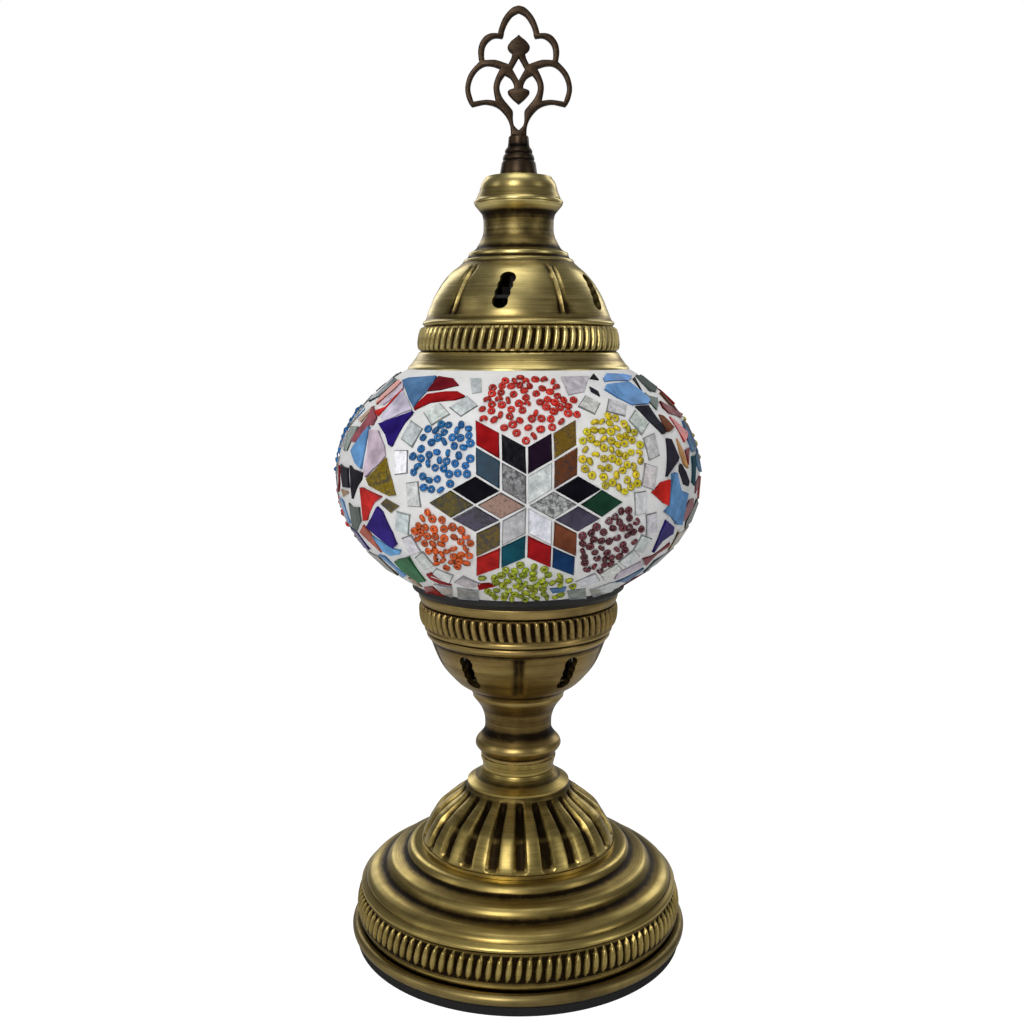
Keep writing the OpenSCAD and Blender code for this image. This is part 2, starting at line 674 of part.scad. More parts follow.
crest_edge = outline([
  [[0, 55.9], [-2.1, 55.3], [-4.3, 53.3], [-5.8, 51], [-6.8, 48.4], [-7.2, 46.9]],
  [[-7.2, 46.9], [-9.5, 46.9], [-11.7, 45.9], [-13.4, 43.6], [-14, 41.1], [-13.9, 39],
    [-13.6, 37.5]],
  [[-13.6, 37.5], [-15.9, 35.2], [-17.6, 32.6], [-18.5, 28.9], [-18.1, 25.9], [-17.1, 23.7],
    [-16.1, 22.5]],
  [[-16.1, 22.5], [-13.9, 23], [-11.7, 23.4], [-9.1, 23], [-6.9, 22], [-4.7, 19.8],
    [-3.4, 17.5], [-2.9, 15.4], [-2.8, 12.4], [-2.8, 8.3]]]);
crest_top = outline([
  [[0, 53.5], [-2.1, 52.4], [-3.8, 50.1], [-4.8, 47.8], [-5.1, 46.1], [-5.6, 45.1]],
  [[-5.6, 45.1], [-8.2, 45.3], [-10.2, 44.2], [-11.5, 42.3], [-11.8, 39.8], [-11.6, 38.1]],
  [[-11.6, 38.1], [-8.2, 38.2], [-5.6, 37.5], [-3.6, 36.8]],
  [[-3.6, 36.8], [-2.7, 38.5], [-2.3, 40.2]],
  [[-2.3, 40.2], [-3.4, 41.1], [-3.9, 42.5], [-2.5, 44.4], [-0.8, 45.7], [0, 46.5]]]);
crest_diamond = [[0, 38.7], [-2.1, 35.1], [0, 31.5], [2.1, 35.1]];
crest_lobe = outline([
  [[-15.5, 24.4], [-16.6, 28.4], [-15.9, 31.8], [-14.1, 34.5], [-11.7, 36], [-9.1, 36],
    [-6.5, 35.2]],
  [[-6.5, 35.2], [-8, 32.2], [-8.8, 28.9], [-8.1, 24.7]],
  [[-8.1, 24.7], [-11.3, 25], [-15.5, 24.4]]]);
crest_tulip = outline([
  [[0, 14.9], [-1.5, 16.4], [-1.9, 18.6], [-1.9, 21], [-2.9, 22.5], [-5.4, 25.5], [-6.5, 28.4],
    [-6.1, 31], [-4.7, 33]],
  [[-4.7, 33], [-2.9, 32], [-1.8, 30.1], [-1.7, 28.8]],
  [[-1.7, 28.8], [-3.4, 28.2], [-3.8, 27.1], [-2.1, 25.1], [0, 23.4]]]);

module crest() {
  k = finial_h / 55.9;
  scale([k, k]) difference() {
    polygon(both(crest_edge));
    polygon(both(crest_top));
    polygon(crest_diamond);
    polygon(crest_lobe);
    polygon(flip(crest_lobe));
    polygon(both(crest_tulip));
  }
}

module finial() {
  z = finial_z;
  color(bronze) difference() {
    union() {
      turned([[0, z], [6.5, z], [6.4, z + 1], [5.9, z + 4], [5.3, z + 4.6], [5.6, z + 5.2],
        [5.1, z + 6.6], [4.6, z + 7], [4.9, z + 7.6], [4.5, z + 8.6], [3.9, z + 9],
        [3.7, z + 10], [3.5, z + 12.6], [2.6, z + 13.4], [0, z + 13.4]]);
      translate([0, crest_t / 2, z]) rotate([90, 0, 0]) linear_extrude(crest_t) crest();
    }
    translate([0, 0, z - 1]) cylinder(r = stud_r + stud_gap, h = 8);
  }
}

felt_pad();
base_plate();
base_washer();
base_nut();
base_weight();
base_shell();
foot_gallery();
cord_grommet();
fluted_dome();
lamp_pipe();
stem_collar();
stem_vase();
cup_shell();
cup_gallery();
cup_washer();
cup_nut();
harp();
stud();
stud_nuts();
socket_base();
socket_body();
socket_contact();
socket_screw_shell();
bulb_cap();
bulb_tip();
bulb_glass();
filament_stem();
led_filaments();
bottom_gasket();
globe_glass();
mosaic_bed();
star_tiles();
border_tiles();
bead_clusters();
field_tiles();
top_gasket();
cap_shell();
cap_gallery();
cap_collar();
finial_washer();
finial();
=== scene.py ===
"""Mosaic glass table lamp: a spun brass foot and stem, a lobed cup and cap, a mosaic
covered glass globe between them, and a pierced cast crest on top. Metres, front towards -Y."""
import math
import random

import bmesh
import bpy
import numpy as np
from mathutils import Matrix, Vector


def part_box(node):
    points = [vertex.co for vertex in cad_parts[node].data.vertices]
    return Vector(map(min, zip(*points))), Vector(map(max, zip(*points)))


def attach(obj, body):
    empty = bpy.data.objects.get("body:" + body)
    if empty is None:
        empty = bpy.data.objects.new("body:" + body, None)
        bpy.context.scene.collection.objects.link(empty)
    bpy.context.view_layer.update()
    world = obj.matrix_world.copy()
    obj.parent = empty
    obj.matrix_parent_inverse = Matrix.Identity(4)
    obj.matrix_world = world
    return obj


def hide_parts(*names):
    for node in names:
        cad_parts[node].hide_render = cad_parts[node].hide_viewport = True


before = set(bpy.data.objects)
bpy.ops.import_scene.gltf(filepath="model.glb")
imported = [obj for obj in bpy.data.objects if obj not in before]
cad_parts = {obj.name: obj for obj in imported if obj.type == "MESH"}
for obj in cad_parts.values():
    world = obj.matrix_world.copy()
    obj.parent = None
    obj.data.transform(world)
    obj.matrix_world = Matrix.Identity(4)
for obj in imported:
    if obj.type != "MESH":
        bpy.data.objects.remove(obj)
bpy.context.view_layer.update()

MM = 0.001
TAU = 2 * math.pi
FRONT = -math.pi / 2

# ---- Camera ----
CAMERA_BACK, CAMERA_UP, CAMERA_SIDE = 0.4139, 0.2183, -0.0023
CAMERA_PITCH = 8.05
CAMERA_LENS = 40.49

# ---- Heights shared with the frame, in mm ----
FINIAL_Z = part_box("finial")[0].z / MM
GLOBE_MID = 173.5
TILE_A, TILE_B = 65.15, 48.15
GROUT_A, GROUT_B = 64.7, 47.7
GLASS_A, GLASS_B = 63.1, 46.1
TILE_T = 1.35

# ---- Star and beads, in mm ----
RHOMB_SIDE = 9.3
STAR_DROP = 2.7
BEAD_TRIES = 6000
BEAD_SPACING = 2.5
BEADS_LOW, BEADS_HIGH = 136.4, 210.6

# ---- Counts round the axis ----
LOBES, FLUTES, FOOT_DROPS, STRIP_RIBS = 5, 22, 112, 70


# ---------------------------------------------------------------- outlines
def curve_through(points, cuts=3):
    """A smooth line through one run of points."""
    line = []
    for i in range(len(points) - 1):
        a, b = points[max(i - 1, 0)], points[i]
        c, d = points[i + 1], points[min(i + 2, len(points) - 1)]
        for j in range(cuts):
            t = j / cuts
            line.append(tuple(0.5 * (2 * b[k] + (c[k] - a[k]) * t
                + (2 * a[k] - 5 * b[k] + 4 * c[k] - d[k]) * t * t
                + (3 * b[k] - 3 * c[k] + d[k] - a[k]) * t ** 3) for k in (0, 1)))
    return line + [tuple(points[-1])]


def joined_runs(runs, cuts=3):
    line = []
    for run in runs:
        line += curve_through(run, cuts)[:-1]
    return line + [tuple(runs[-1][-1])]


def eased(points, reach, steps=3):
    """A closed outline with every corner rounded over up to reach mm on each side."""
    out = []
    n = len(points)
    for i in range(n):
        p = Vector(points[i])
        before, after = Vector(points[i - 1]) - p, Vector(points[(i + 1) % n]) - p
        a = p + before * min(0.45, reach / max(before.length, 1e-6))
        b = p + after * min(0.45, reach / max(after.length, 1e-6))
        for j in range(steps + 1):
            t = j / steps
            q = a * (1 - t) ** 2 + p * 2 * t * (1 - t) + b * t * t
            out.append((q.x, q.y))
    return out


def inset(points, d):
    """An open outline drawn upward, moved inward by d mm."""
    out = []
    for i in range(len(points)):
        a, b = Vector(points[max(i - 1, 0)]), Vector(points[min(i + 1, len(points) - 1)])
        t = (b - a).normalized()
        out.append((points[i][0] - t.y * d, points[i][1] + t.x * d))
    return out


def smooth_step(a, b, x):
    t = np.clip((x - a) / (b - a), 0, 1)
    return t * t * (3 - 2 * t)


# ---------------------------------------------------------------- turned pieces
def outline_data(points):
    """Outward normals of a closed outline, and how deep each point lies in a narrow or broad hollow."""
    p = np.array(points)
    area = np.sum(p[:, 0] * np.roll(p[:, 1], -1) - np.roll(p[:, 0], -1) * p[:, 1])
    step = np.roll(p, -1, 0) - np.roll(p, 1, 0)
    normal = np.stack([step[:, 1], -step[:, 0]], 1) * (1 if area > 0 else -1)
    normal /= np.maximum(np.linalg.norm(normal, axis=1), 1e-9)[:, None]
    seg = np.linalg.norm(np.roll(p, -1, 0) - p, axis=1)
    s = np.concatenate([[0], np.cumsum(seg)])
    loop = np.vstack([p, p[:1]])
    def at(x):
        x = np.mod(x, s[-1])
        return np.stack([np.interp(x, s, loop[:, 0]), np.interp(x, s, loop[:, 1])], 1)
    hollow = 0
    for reach, full in ((1.0, 0.3), (2.8, 1.0)):
        middle = (at(s[:-1] - reach) + at(s[:-1] + reach)) / 2
        hollow = hollow + np.clip(np.sum((middle - p) * normal, axis=1) / full, -0.8, 0.8)
    return p, normal, hollow


def turned(name, outline, steps, ornament=None):
    """A closed outline of (radius, height) in mm turned round the axis, with a shading value stored for each
    point: dark oxide and painted shade in the hollows, a paler tone on the edges for wear and painted highlight.
    ornament gives each outer point's move outward in mm and its added shading of the same kind, from its angle and
    height."""
    bm = bmesh.new()
    verts = [bm.verts.new((r * MM, 0, z * MM)) for r, z in outline]
    edges = [bm.edges.new((verts[i], verts[(i + 1) % len(verts)])) for i in range(len(verts))]
    bmesh.ops.spin(bm, geom=verts + edges, cent=(0, 0, 0), axis=(0, 0, 1), dvec=(0, 0, 0),
        angle=TAU, steps=steps, use_merge=True, use_normal_flip=False, use_duplicate=False)
    bmesh.ops.remove_doubles(bm, verts=bm.verts, dist=2e-6)
    bmesh.ops.dissolve_degenerate(bm, edges=bm.edges, dist=1e-6)
    bmesh.ops.recalc_face_normals(bm, faces=bm.faces)
    mesh = poured(name, bm)
    co = np.zeros(len(mesh.vertices) * 3)
    mesh.vertices.foreach_get("co", co)
    co = co.reshape(-1, 3) / MM
    r, angle = np.hypot(co[:, 0], co[:, 1]), np.arctan2(co[:, 1], co[:, 0])
    p, normal, hollow = outline_data(outline)
    nearest = np.zeros(len(r), int)
    for i in range(0, len(r), 20000):
        d = (r[i:i + 20000, None] - p[:, 0]) ** 2 + (co[i:i + 20000, 2, None] - p[:, 1]) ** 2
        nearest[i:i + 20000] = np.argmin(d, axis=1)
    # Hollows darker as oxide plus painted shade, edges paler as wear plus painted highlight.
    oxide_and_painted_shading = np.clip(hollow[nearest], -1, 1)
    if ornament:
        outward = normal[nearest]
        face = (outward[:, 0] > 0.05) & (r > 4)
        move, more = ornament(angle, co[:, 2], r)
        move, more = np.where(face, move, 0), np.where(face, more, 0)
        co[:, 0] += move * outward[:, 0] * np.cos(angle)
        co[:, 1] += move * outward[:, 0] * np.sin(angle)
        co[:, 2] += move * outward[:, 1]
        oxide_and_painted_shading = np.clip(oxide_and_painted_shading + more, -1, 1)
    mesh.vertices.foreach_set("co", (co * MM).ravel())
    mesh.attributes.new("oxide_and_painted_shading", "FLOAT", "POINT").data.foreach_set("value", oxide_and_painted_shading)
    return placed(name, mesh)


def set_down(name, data):
    """A new object with this data, in the scene."""
    thing = bpy.data.objects.new(name, data)
    bpy.context.scene.collection.objects.link(thing)
    return thing


def poured(name, bm):
    """A new mesh with everything in bm, which is freed."""
    mesh = bpy.data.meshes.new(name)
    bm.to_mesh(mesh)
    bm.free()
    return mesh


def paint(mesh, colours):
    """Stores a colour for each face corner, which the glass finishes read."""
    mesh.attributes.new("tint", "FLOAT_COLOR", "CORNER").data.foreach_set("color", colours.ravel())


def placed(name, mesh, smooth=34):
    mesh.shade_smooth()
    if smooth:
        mesh.set_sharp_from_angle(angle=math.radians(smooth))
    mesh.update()
    return set_down(name, mesh)


def dress(piece, material, body, slot, *stands_for):
    """Gives a piece its finish and the body it rides on, and hides the solids it stands for."""
    if piece.data.materials:
        piece.data.materials.clear()
    for m in material if isinstance(material, list) else [material]:
        piece.data.materials.append(m)
    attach(piece, body)
    if stands_for:
        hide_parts(*stands_for)
    return piece


# ---------------------------------------------------------------- shader helpers
def add(tree, kind, inputs=None, **settings):
    node = tree.nodes.new(kind)
    for key, value in settings.items():
        setattr(node, key, value)
    for key, value in (inputs or {}).items():
        if isinstance(value, bpy.types.NodeSocket):
            tree.links.new(value, node.inputs[key])
        else:
            node.inputs[key].default_value = value
    return node


def new_material(name, **constant):
    mat = bpy.data.materials.new(name)
    mat.use_nodes = True
    tree = mat.node_tree
    tree.nodes.clear()
    out = add(tree, "ShaderNodeOutputMaterial")
    face = add(tree, "ShaderNodeBsdfPrincipled", {k.replace("_", " "): v for k, v in constant.items()})
    tree.links.new(face.outputs[0], out.inputs[0])
    return mat, tree, face


def maths(tree, what, *values, clamp=False):
    node = add(tree, "ShaderNodeMath", dict(enumerate(values)), operation=what)
    node.use_clamp = clamp
    return node.outputs[0]


def noise(tree, vector, scale, detail=2.0, rough=0.5):
    return add(tree, "ShaderNodeTexNoise", {"Vector": vector, "Scale": scale, "Detail": detail,
        "Roughness": rough}).outputs[0]


def blend_colour(tree, factor, a, b, how="MIX"):
    node = add(tree, "ShaderNodeMix", {0: factor, 6: a, 7: b}, data_type="RGBA", blend_type=how)
    return node.outputs[2]


def spread(tree, value, low, high, to_low=0.0, to_high=1.0):
    return add(tree, "ShaderNodeMapRange", {0: value, 1: low, 2: high, 3: to_low, 4: to_high},
        clamp=True).outputs[0]


def object_place(tree):
    return add(tree, "ShaderNodeTexCoord").outputs["Object"]


def bump(tree, face, height, strength, distance):
    node = add(tree, "ShaderNodeBump", {"Strength": strength, "Distance": distance, "Height": height})
    feed(face, "Normal", node.outputs[0])


def feed(face, name, value):
    """Links a value to one of a shader's inputs."""
    face.id_data.links.new(value, face.inputs[name])


def glass_tint(tree):
    """The colour that each piece of glass carries."""
    return add(tree, "ShaderNodeAttribute", attribute_name="tint").outputs["Color"]


def rgb(r, g, b):
    return (r, g, b, 1.0)


# ---------------------------------------------------------------- metal finishes
def spun_brass(name, bright, middle, dark, roughness=0.3, tarnish=0.0):
    """Antique brass: fine turning rings, cloudy tarnish, dark oxide with painted shade in the hollows and metal
    paled on the edges by wear and painted highlight."""
    mat, tree, face = new_material(name, Metallic=1.0)
    place = object_place(tree)
    cut = add(tree, "ShaderNodeSeparateXYZ", {0: place})
    flat = add(tree, "ShaderNodeVectorMath", {0: place, 1: (1, 1, 0)}, operation="MULTIPLY").outputs[0]
    r = add(tree, "ShaderNodeVectorMath", {0: flat}, operation="LENGTH").outputs["Value"]
    rings = add(tree, "ShaderNodeCombineXYZ", {0: r, 1: maths(tree, "MULTIPLY", cut.outputs[0], 0.012),
        2: cut.outputs[2]}).outputs[0]
    fine = noise(tree, rings, 2600, 3, 0.65)
    broad = noise(tree, rings, 420, 2, 0.5)
    cloud = noise(tree, place, 42, 4, 0.6)
    grime = noise(tree, place, 260, 4, 0.65)
    oxide_and_painted_shading = add(tree, "ShaderNodeAttribute", attribute_name="oxide_and_painted_shading").outputs["Fac"]
    lines = maths(tree, "ADD", maths(tree, "MULTIPLY", fine, 0.6), maths(tree, "MULTIPLY", broad, 0.4))
    # The stored shading paints a highlight onto edges and shade into hollows, over the turning lines.
    shine = maths(tree, "ADD", spread(tree, lines, 0.36, 0.64), maths(tree, "MULTIPLY", oxide_and_painted_shading, -0.6))
    tone = blend_colour(tree, spread(tree, shine, -0.1, 1.2), middle, bright)
    hollow = maths(tree, "ADD", oxide_and_painted_shading,
        maths(tree, "MULTIPLY", maths(tree, "SUBTRACT", grime, 0.5), 0.7))
    clouds = spread(tree, cloud, 0.42, 0.72, tarnish, tarnish + 0.45)
    # Towards the dark colour: tarnish clouds, grime, and oxide with painted shade in the hollows.
    tarnish_grime_and_painted_shade = maths(tree, "MAXIMUM", spread(tree, hollow, -0.02, 0.95), clouds)
    feed(face, "Base Color", blend_colour(tree, tarnish_grime_and_painted_shade, tone, dark))
    rough = maths(tree, "ADD", maths(tree, "MULTIPLY", tarnish_grime_and_painted_shade, 0.22),
        maths(tree, "MULTIPLY", fine, 0.16))
    feed(face, "Roughness", maths(tree, "ADD", rough, roughness - 0.08))
    height = maths(tree, "ADD", maths(tree, "MULTIPLY", fine, 0.7), maths(tree, "MULTIPLY", grime, 0.25))
    bump(tree, face, height, 0.35, 0.00006)
    return mat


def plain_metal(name, colour, roughness, stain, scale=300):
    """Plated, drawn or cast metal with faint stains and a fine tooth."""
    mat, tree, face = new_material(name, Metallic=1.0)
    place = object_place(tree)
    grain = noise(tree, place, scale, 4, 0.6)
    cloud = noise(tree, place, 70, 3)
    feed(face, "Base Color", blend_colour(tree, spread(tree, cloud, 0.4, 0.7), colour, stain))
    feed(face, "Roughness", spread(tree, grain, 0.3, 0.7, roughness - 0.08, roughness + 0.12))
    bump(tree, face, grain, 0.25, 0.00005)
    return mat


def plain_solid(name, colour, stain, roughness, scale, depth):
    """Rubber, moulded plastic, painted iron or felt."""
    mat, tree, face = new_material(name)
    place = object_place(tree)
    grain = noise(tree, place, scale, 5, 0.7)
    feed(face, "Base Color", blend_colour(tree, spread(tree, grain, 0.35, 0.7), colour, stain))
    feed(face, "Roughness", spread(tree, grain, 0.3, 0.7, roughness - 0.08, roughness + 0.1))
    bump(tree, face, grain, 0.5, depth)
    return mat


def clear_glass(name, tint, roughness):
    mat, tree, face = new_material(name, Transmission_Weight=1.0, IOR=1.45, Base_Color=tint)
    wave = noise(tree, object_place(tree), 90, 2)
    feed(face, "Roughness", spread(tree, wave, 0.3, 0.7, roughness, roughness + 0.04))
    bump(tree, face, wave, 0.1, 0.0002)
    return mat


# ---------------------------------------------------------------- mosaic finishes
def stained_glass():
    """Coloured glass pieces: wavy hand-rolled surface, streaks of lighter and darker colour."""
    mat, tree, face = new_material("stained_glass", IOR=1.45, Specular_IOR_Level=0.06)
    place = object_place(tree)
    tint = glass_tint(tree)
    streak = noise(tree, place, 170, 3, 0.55)
    wave = noise(tree, place, 420, 2)
    deep = blend_colour(tree, spread(tree, streak, 0.3, 0.68), rgb(0.62, 0.62, 0.64), rgb(1.25, 1.25, 1.25))
    feed(face, "Base Color", blend_colour(tree, 1.0, tint, deep, "MULTIPLY"))
    feed(face, "Roughness", spread(tree, streak, 0.3, 0.7, 0.08, 0.2))
    bump(tree, face, wave, 0.22, 0.0003)
    return mat


def speckled_mirror():
    """Old mirror glass: silvering with dark flakes and rusty speckles."""
    mat, tree, face = new_material("speckled_mirror", Coat_Weight=0.5, Coat_Roughness=0.06)
    place = object_place(tree)
    tint = glass_tint(tree)
    flake = noise(tree, place, 700, 4, 0.75)
    blot = noise(tree, place, 260, 3, 0.6)
    hole = spread(tree, maths(tree, "ADD", maths(tree, "MULTIPLY", flake, 0.65),
        maths(tree, "MULTIPLY", blot, 0.35)), 0.46, 0.56)
    dark = blend_colour(tree, 0.14, rgb(0.02, 0.02, 0.025), tint)
    feed(face, "Base Color", blend_colour(tree, hole, tint, dark))
    feed(face, "Metallic", spread(tree, hole, 0, 1, 0.75, 0.1))
    feed(face, "Roughness", spread(tree, blot, 0.3, 0.7, 0.16, 0.34))
    bump(tree, face, flake, 0.15, 0.00015)
    return mat


def mirror_glass():
    """Tinted mirror glass, slightly wavy."""
    mat, tree, face = new_material("mirror_glass", Metallic=0.9, Coat_Weight=0.6, Coat_Roughness=0.04)
    place = object_place(tree)
    tint = glass_tint(tree)
    wave = noise(tree, place, 230, 2)
    fleck = noise(tree, place, 900, 3, 0.7)
    shade = blend_colour(tree, spread(tree, fleck, 0.52, 0.68), rgb(1, 1, 1), rgb(0.45, 0.45, 0.47))
    feed(face, "Base Color", blend_colour(tree, 1.0, tint, shade, "MULTIPLY"))
    feed(face, "Roughness", spread(tree, wave, 0.3, 0.7, 0.1, 0.26))
    bump(tree, face, wave, 0.3, 0.0004)
    return mat


def pale_glass():
    """Clear glass over white grout: pale, with grey streaks and a glint."""
    mat, tree, face = new_material("pale_glass", IOR=1.5, Coat_Weight=0.8, Coat_Roughness=0.04)
    place = object_place(tree)
    tint = glass_tint(tree)
    streak = noise(tree, place, 330, 4, 0.7)
    wave = noise(tree, place, 520, 2)
    shade = blend_colour(tree, spread(tree, streak, 0.35, 0.66), rgb(0.62, 0.64, 0.65), rgb(1.05, 1.05, 1.05))
    feed(face, "Base Color", blend_colour(tree, 1.0, tint, shade, "MULTIPLY"))
    feed(face, "Metallic", spread(tree, streak, 0.3, 0.7, 0.3, 0.05))
    feed(face, "Roughness", spread(tree, wave, 0.3, 0.7, 0.06, 0.2))
    bump(tree, face, wave, 0.35, 0.0004)
    return mat


def bead_glass():
    """Seed beads: glassy, with painted shade darkening them towards the rim where the wall is seen edge on."""
    mat, tree, face = new_material("bead_glass", IOR=1.5, Roughness=0.12)
    tint = glass_tint(tree)
    rim = add(tree, "ShaderNodeLayerWeight", {"Blend": 0.45}).outputs["Facing"]
    dark = blend_colour(tree, 1.0, tint, rgb(0.14, 0.13, 0.13), "MULTIPLY")
    mottle = noise(tree, object_place(tree), 900, 2)
    light = blend_colour(tree, 1.0, tint, rgb(1.5, 1.5, 1.5), "MULTIPLY")
    body = blend_colour(tree, spread(tree, mottle, 0.35, 0.7), tint, light)
    feed(face, "Base Color", blend_colour(tree, spread(tree, rim, 0.22, 0.78), body, dark))
    return mat


def white_grout():
    """Wiped white grout: fine sand, faint grey haze, small pits."""
    mat, tree, face = new_material("white_grout", Specular_IOR_Level=0.35)
    place = object_place(tree)
    sand = noise(tree, place, 1500, 5, 0.7)
    haze = noise(tree, place, 120, 4, 0.6)
    feed(face, "Base Color", blend_colour(tree, spread(tree, haze, 0.42, 0.75), rgb(0.97, 0.97, 0.965),
        rgb(0.86, 0.86, 0.85)))
    feed(face, "Roughness", spread(tree, sand, 0.3, 0.7, 0.5, 0.75))
    bump(tree, face, maths(tree, "ADD", sand, haze), 0.5, 0.00012)
    return mat


BRASS = spun_brass("antique_brass", rgb(0.66, 0.51, 0.17), rgb(0.22, 0.145, 0.034),
    rgb(0.018, 0.011, 0.005), 0.30, 0.10)
CUP_BRASS = spun_brass("browned_brass", rgb(0.54, 0.39, 0.14), rgb(0.19, 0.118, 0.034),
    rgb(0.016, 0.010, 0.005), 0.32, 0.14)
CAP_BRASS = spun_brass("golden_brass", rgb(0.80, 0.66, 0.27), rgb(0.35, 0.25, 0.075),
    rgb(0.024, 0.014, 0.006), 0.30, 0.05)
RIM_BRASS = spun_brass("dark_brass", rgb(0.46, 0.35, 0.13), rgb(0.13, 0.085, 0.026),
    rgb(0.012, 0.008, 0.004), 0.34, 0.25)
BRONZE = spun_brass("cast_bronze", rgb(0.10, 0.066, 0.040), rgb(0.030, 0.019, 0.013),
    rgb(0.007, 0.006, 0.005), 0.36, 0.2)
GLASS_KINDS = {"stained": 0, "speckled": 1, "mirror": 2, "clear": 3}


# ---------------------------------------------------------------- brass pieces
def repeat_phase(angle, count, start, slant=0.0, height=0.0):
    """Signed distance from the nearest of count marks round the axis, in shares of a pitch."""
    share = (angle - start) * count / TAU - slant * height
    return share - np.round(share)


FOOT_FACE = [(57.9, 4.2), (57.9, 7.4), (59, 8.4), (59, 9.9), (57.2, 20.4), (58.9, 21), (58.9, 21.9),
    (57.9, 22.9), (57.0, 23.6), (56.6, 24.5), (55.4, 25.6), (53.6, 26.5), (51.6, 27.05), (50.2, 27.7),
    (49.0, 28.9), (48.2, 30.1), (47.2, 30.95), (45.2, 31.6), (43.2, 32.3), (41.9, 32.95), (41.2, 34.1),
    (40.4, 35.1), (39, 35.6), (30, 35.8)]
FOOT_CORE = [(56.8, 4.2), (56.8, 9.2), (57.4, 10.6), (56, 20), (57, 21.4), (56.3, 22.6), (54.6, 24.4),
    (52, 25.7), (50.2, 26.2), (48.6, 27.3), (47.3, 29), (46.9, 29.6), (45.6, 30.3), (43.4, 31),
    (41.2, 31.9), (40, 33.4), (39.3, 34.3), (30, 34.6)]
CROWN = [(35.8, 37.1), (35.6, 38.5), (34.9, 40.5), (34, 42.4), (32.9, 44.2), (31.7, 46.2),
    (30.3, 48.1), (28.1, 50), (25.7, 52), (22.9, 54), (20.5, 56), (19.2, 57.7)]
VASE = [(13.5, 69), (13.6, 70.2), (14.2, 71), (15, 71.8), (15.8, 73), (15.8, 74.1), (15.3, 75.2),
    (14.6, 76), (13.7, 77), (12.9, 78.1), (12.4, 79.4), (12.3, 81), (12.4, 83.2), (12.8, 85),
    (13.6, 87.2), (14.7, 89), (15.9, 90.6), (16.8, 91.8), (16.8, 93)]
BOWL = [(20, 96), (21.6, 97), (23, 98), (25, 100), (26.7, 102), (28.1, 104), (29.2, 106),
    (30.1, 108), (30.9, 110), (31.6, 112), (32.3, 114)]
DOME = [(32.6, 229), (31.8, 231), (31, 233), (30.2, 235), (29.2, 237), (28, 239), (26.7, 241),
    (25.1, 243), (23.2, 245), (20.9, 247)]
PIPE_HOLE, STUD_HOLE = 5.15, 3.2


def grommet_hole(piece):
    """Opens the cord's way through the foot's wall at the back."""
    low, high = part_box("cord_grommet")
    middle = (low + high) / 2
    turn = math.radians(55)
    bm = bmesh.new()
    bmesh.ops.create_cone(bm, cap_ends=True, segments=40, radius1=4.1 * MM, radius2=4.1 * MM, depth=14 * MM,
        matrix=Matrix.Translation((0.0585 * math.cos(turn), 0.0585 * math.sin(turn), middle.z))
        @ Matrix.Rotation(turn, 4, "Z") @ Matrix.Rotation(math.pi / 2, 4, "Y"))
    cut_away(piece, bm)


def cut_away(piece, bm):
    """Cuts a closed shape out of a piece and keeps the result as the piece's own mesh."""
    bmesh.ops.recalc_face_normals(bm, faces=bm.faces)
    mesh = poured("cutter", bm)
    cutter = set_down("cutter", mesh)
    hole = piece.modifiers.new("hole", "BOOLEAN")
    hole.operation, hole.solver, hole.object = "DIFFERENCE", "EXACT", cutter
    bpy.context.view_layer.update()
    done = bpy.data.meshes.new_from_object(piece.evaluated_get(bpy.context.evaluated_depsgraph_get()))
    piece.modifiers.clear()
    old = piece.data
    name = old.name
    piece.data = done
    bpy.data.meshes.remove(old)
    done.name = name
    bpy.data.objects.remove(cutter)
    bpy.data.meshes.remove(mesh)


def foot():
    body = FOOT_FACE + FOOT_CORE[::-1]
    shell = turned("foot_shell", eased(body, 0.55), 288)
    grommet_hole(shell)
    dress(shell, BRASS, "lamp", "antique_brass", "base_shell")

    edge = [(PIPE_HOLE, 6.9), (18, 6.9), (20.5, 3), (60.3, 3)]
    roll = [(60.3 + 2.1 * math.cos(a), 5.6 + 2.1 * math.sin(a))
        for a in np.radians(np.linspace(-84, 120, 15))]
    plate = edge + roll + [(57.7, 4.2), (21.2, 4.2), (18.7, 8.1), (PIPE_HOLE, 8.1)]
    rim = turned("foot_rim", plate, 240)
    dress(rim, RIM_BRASS, "lamp", "dark_brass", "base_plate")

    def teardrops(angle, z, r):
        up = (z - 15.6) / 3.9
        away = np.abs(repeat_phase(angle, FOOT_DROPS, FRONT, 0.13, up))
        length = np.clip(1 - up ** 2, 0, 1)
        full = (0.38 - 0.07 * up) * length ** 0.45
        hump = np.sqrt(np.clip(1 - (away / np.maximum(full, 1e-3)) ** 2, 0, 1)) * (length > 0)
        # Colour: painted shade with dark oxide in the gaps around and below the drops, crests paler as wear plus
        # painted highlight.
        return 1.45 * hump * length ** 0.35 - 0.1, 1.5 - 2.3 * hump
    rows = [(59.95 - 0.176 * (z - 10.1), z) for z in np.linspace(10.1, 20.4, 19)]
    strip = turned("foot_strip", rows + [(57.35, 20.4), (59.15, 10.1)], FOOT_DROPS * 9, teardrops)
    grommet_hole(strip)
    dress(strip, BRASS, "lamp", "antique_brass", "foot_gallery")


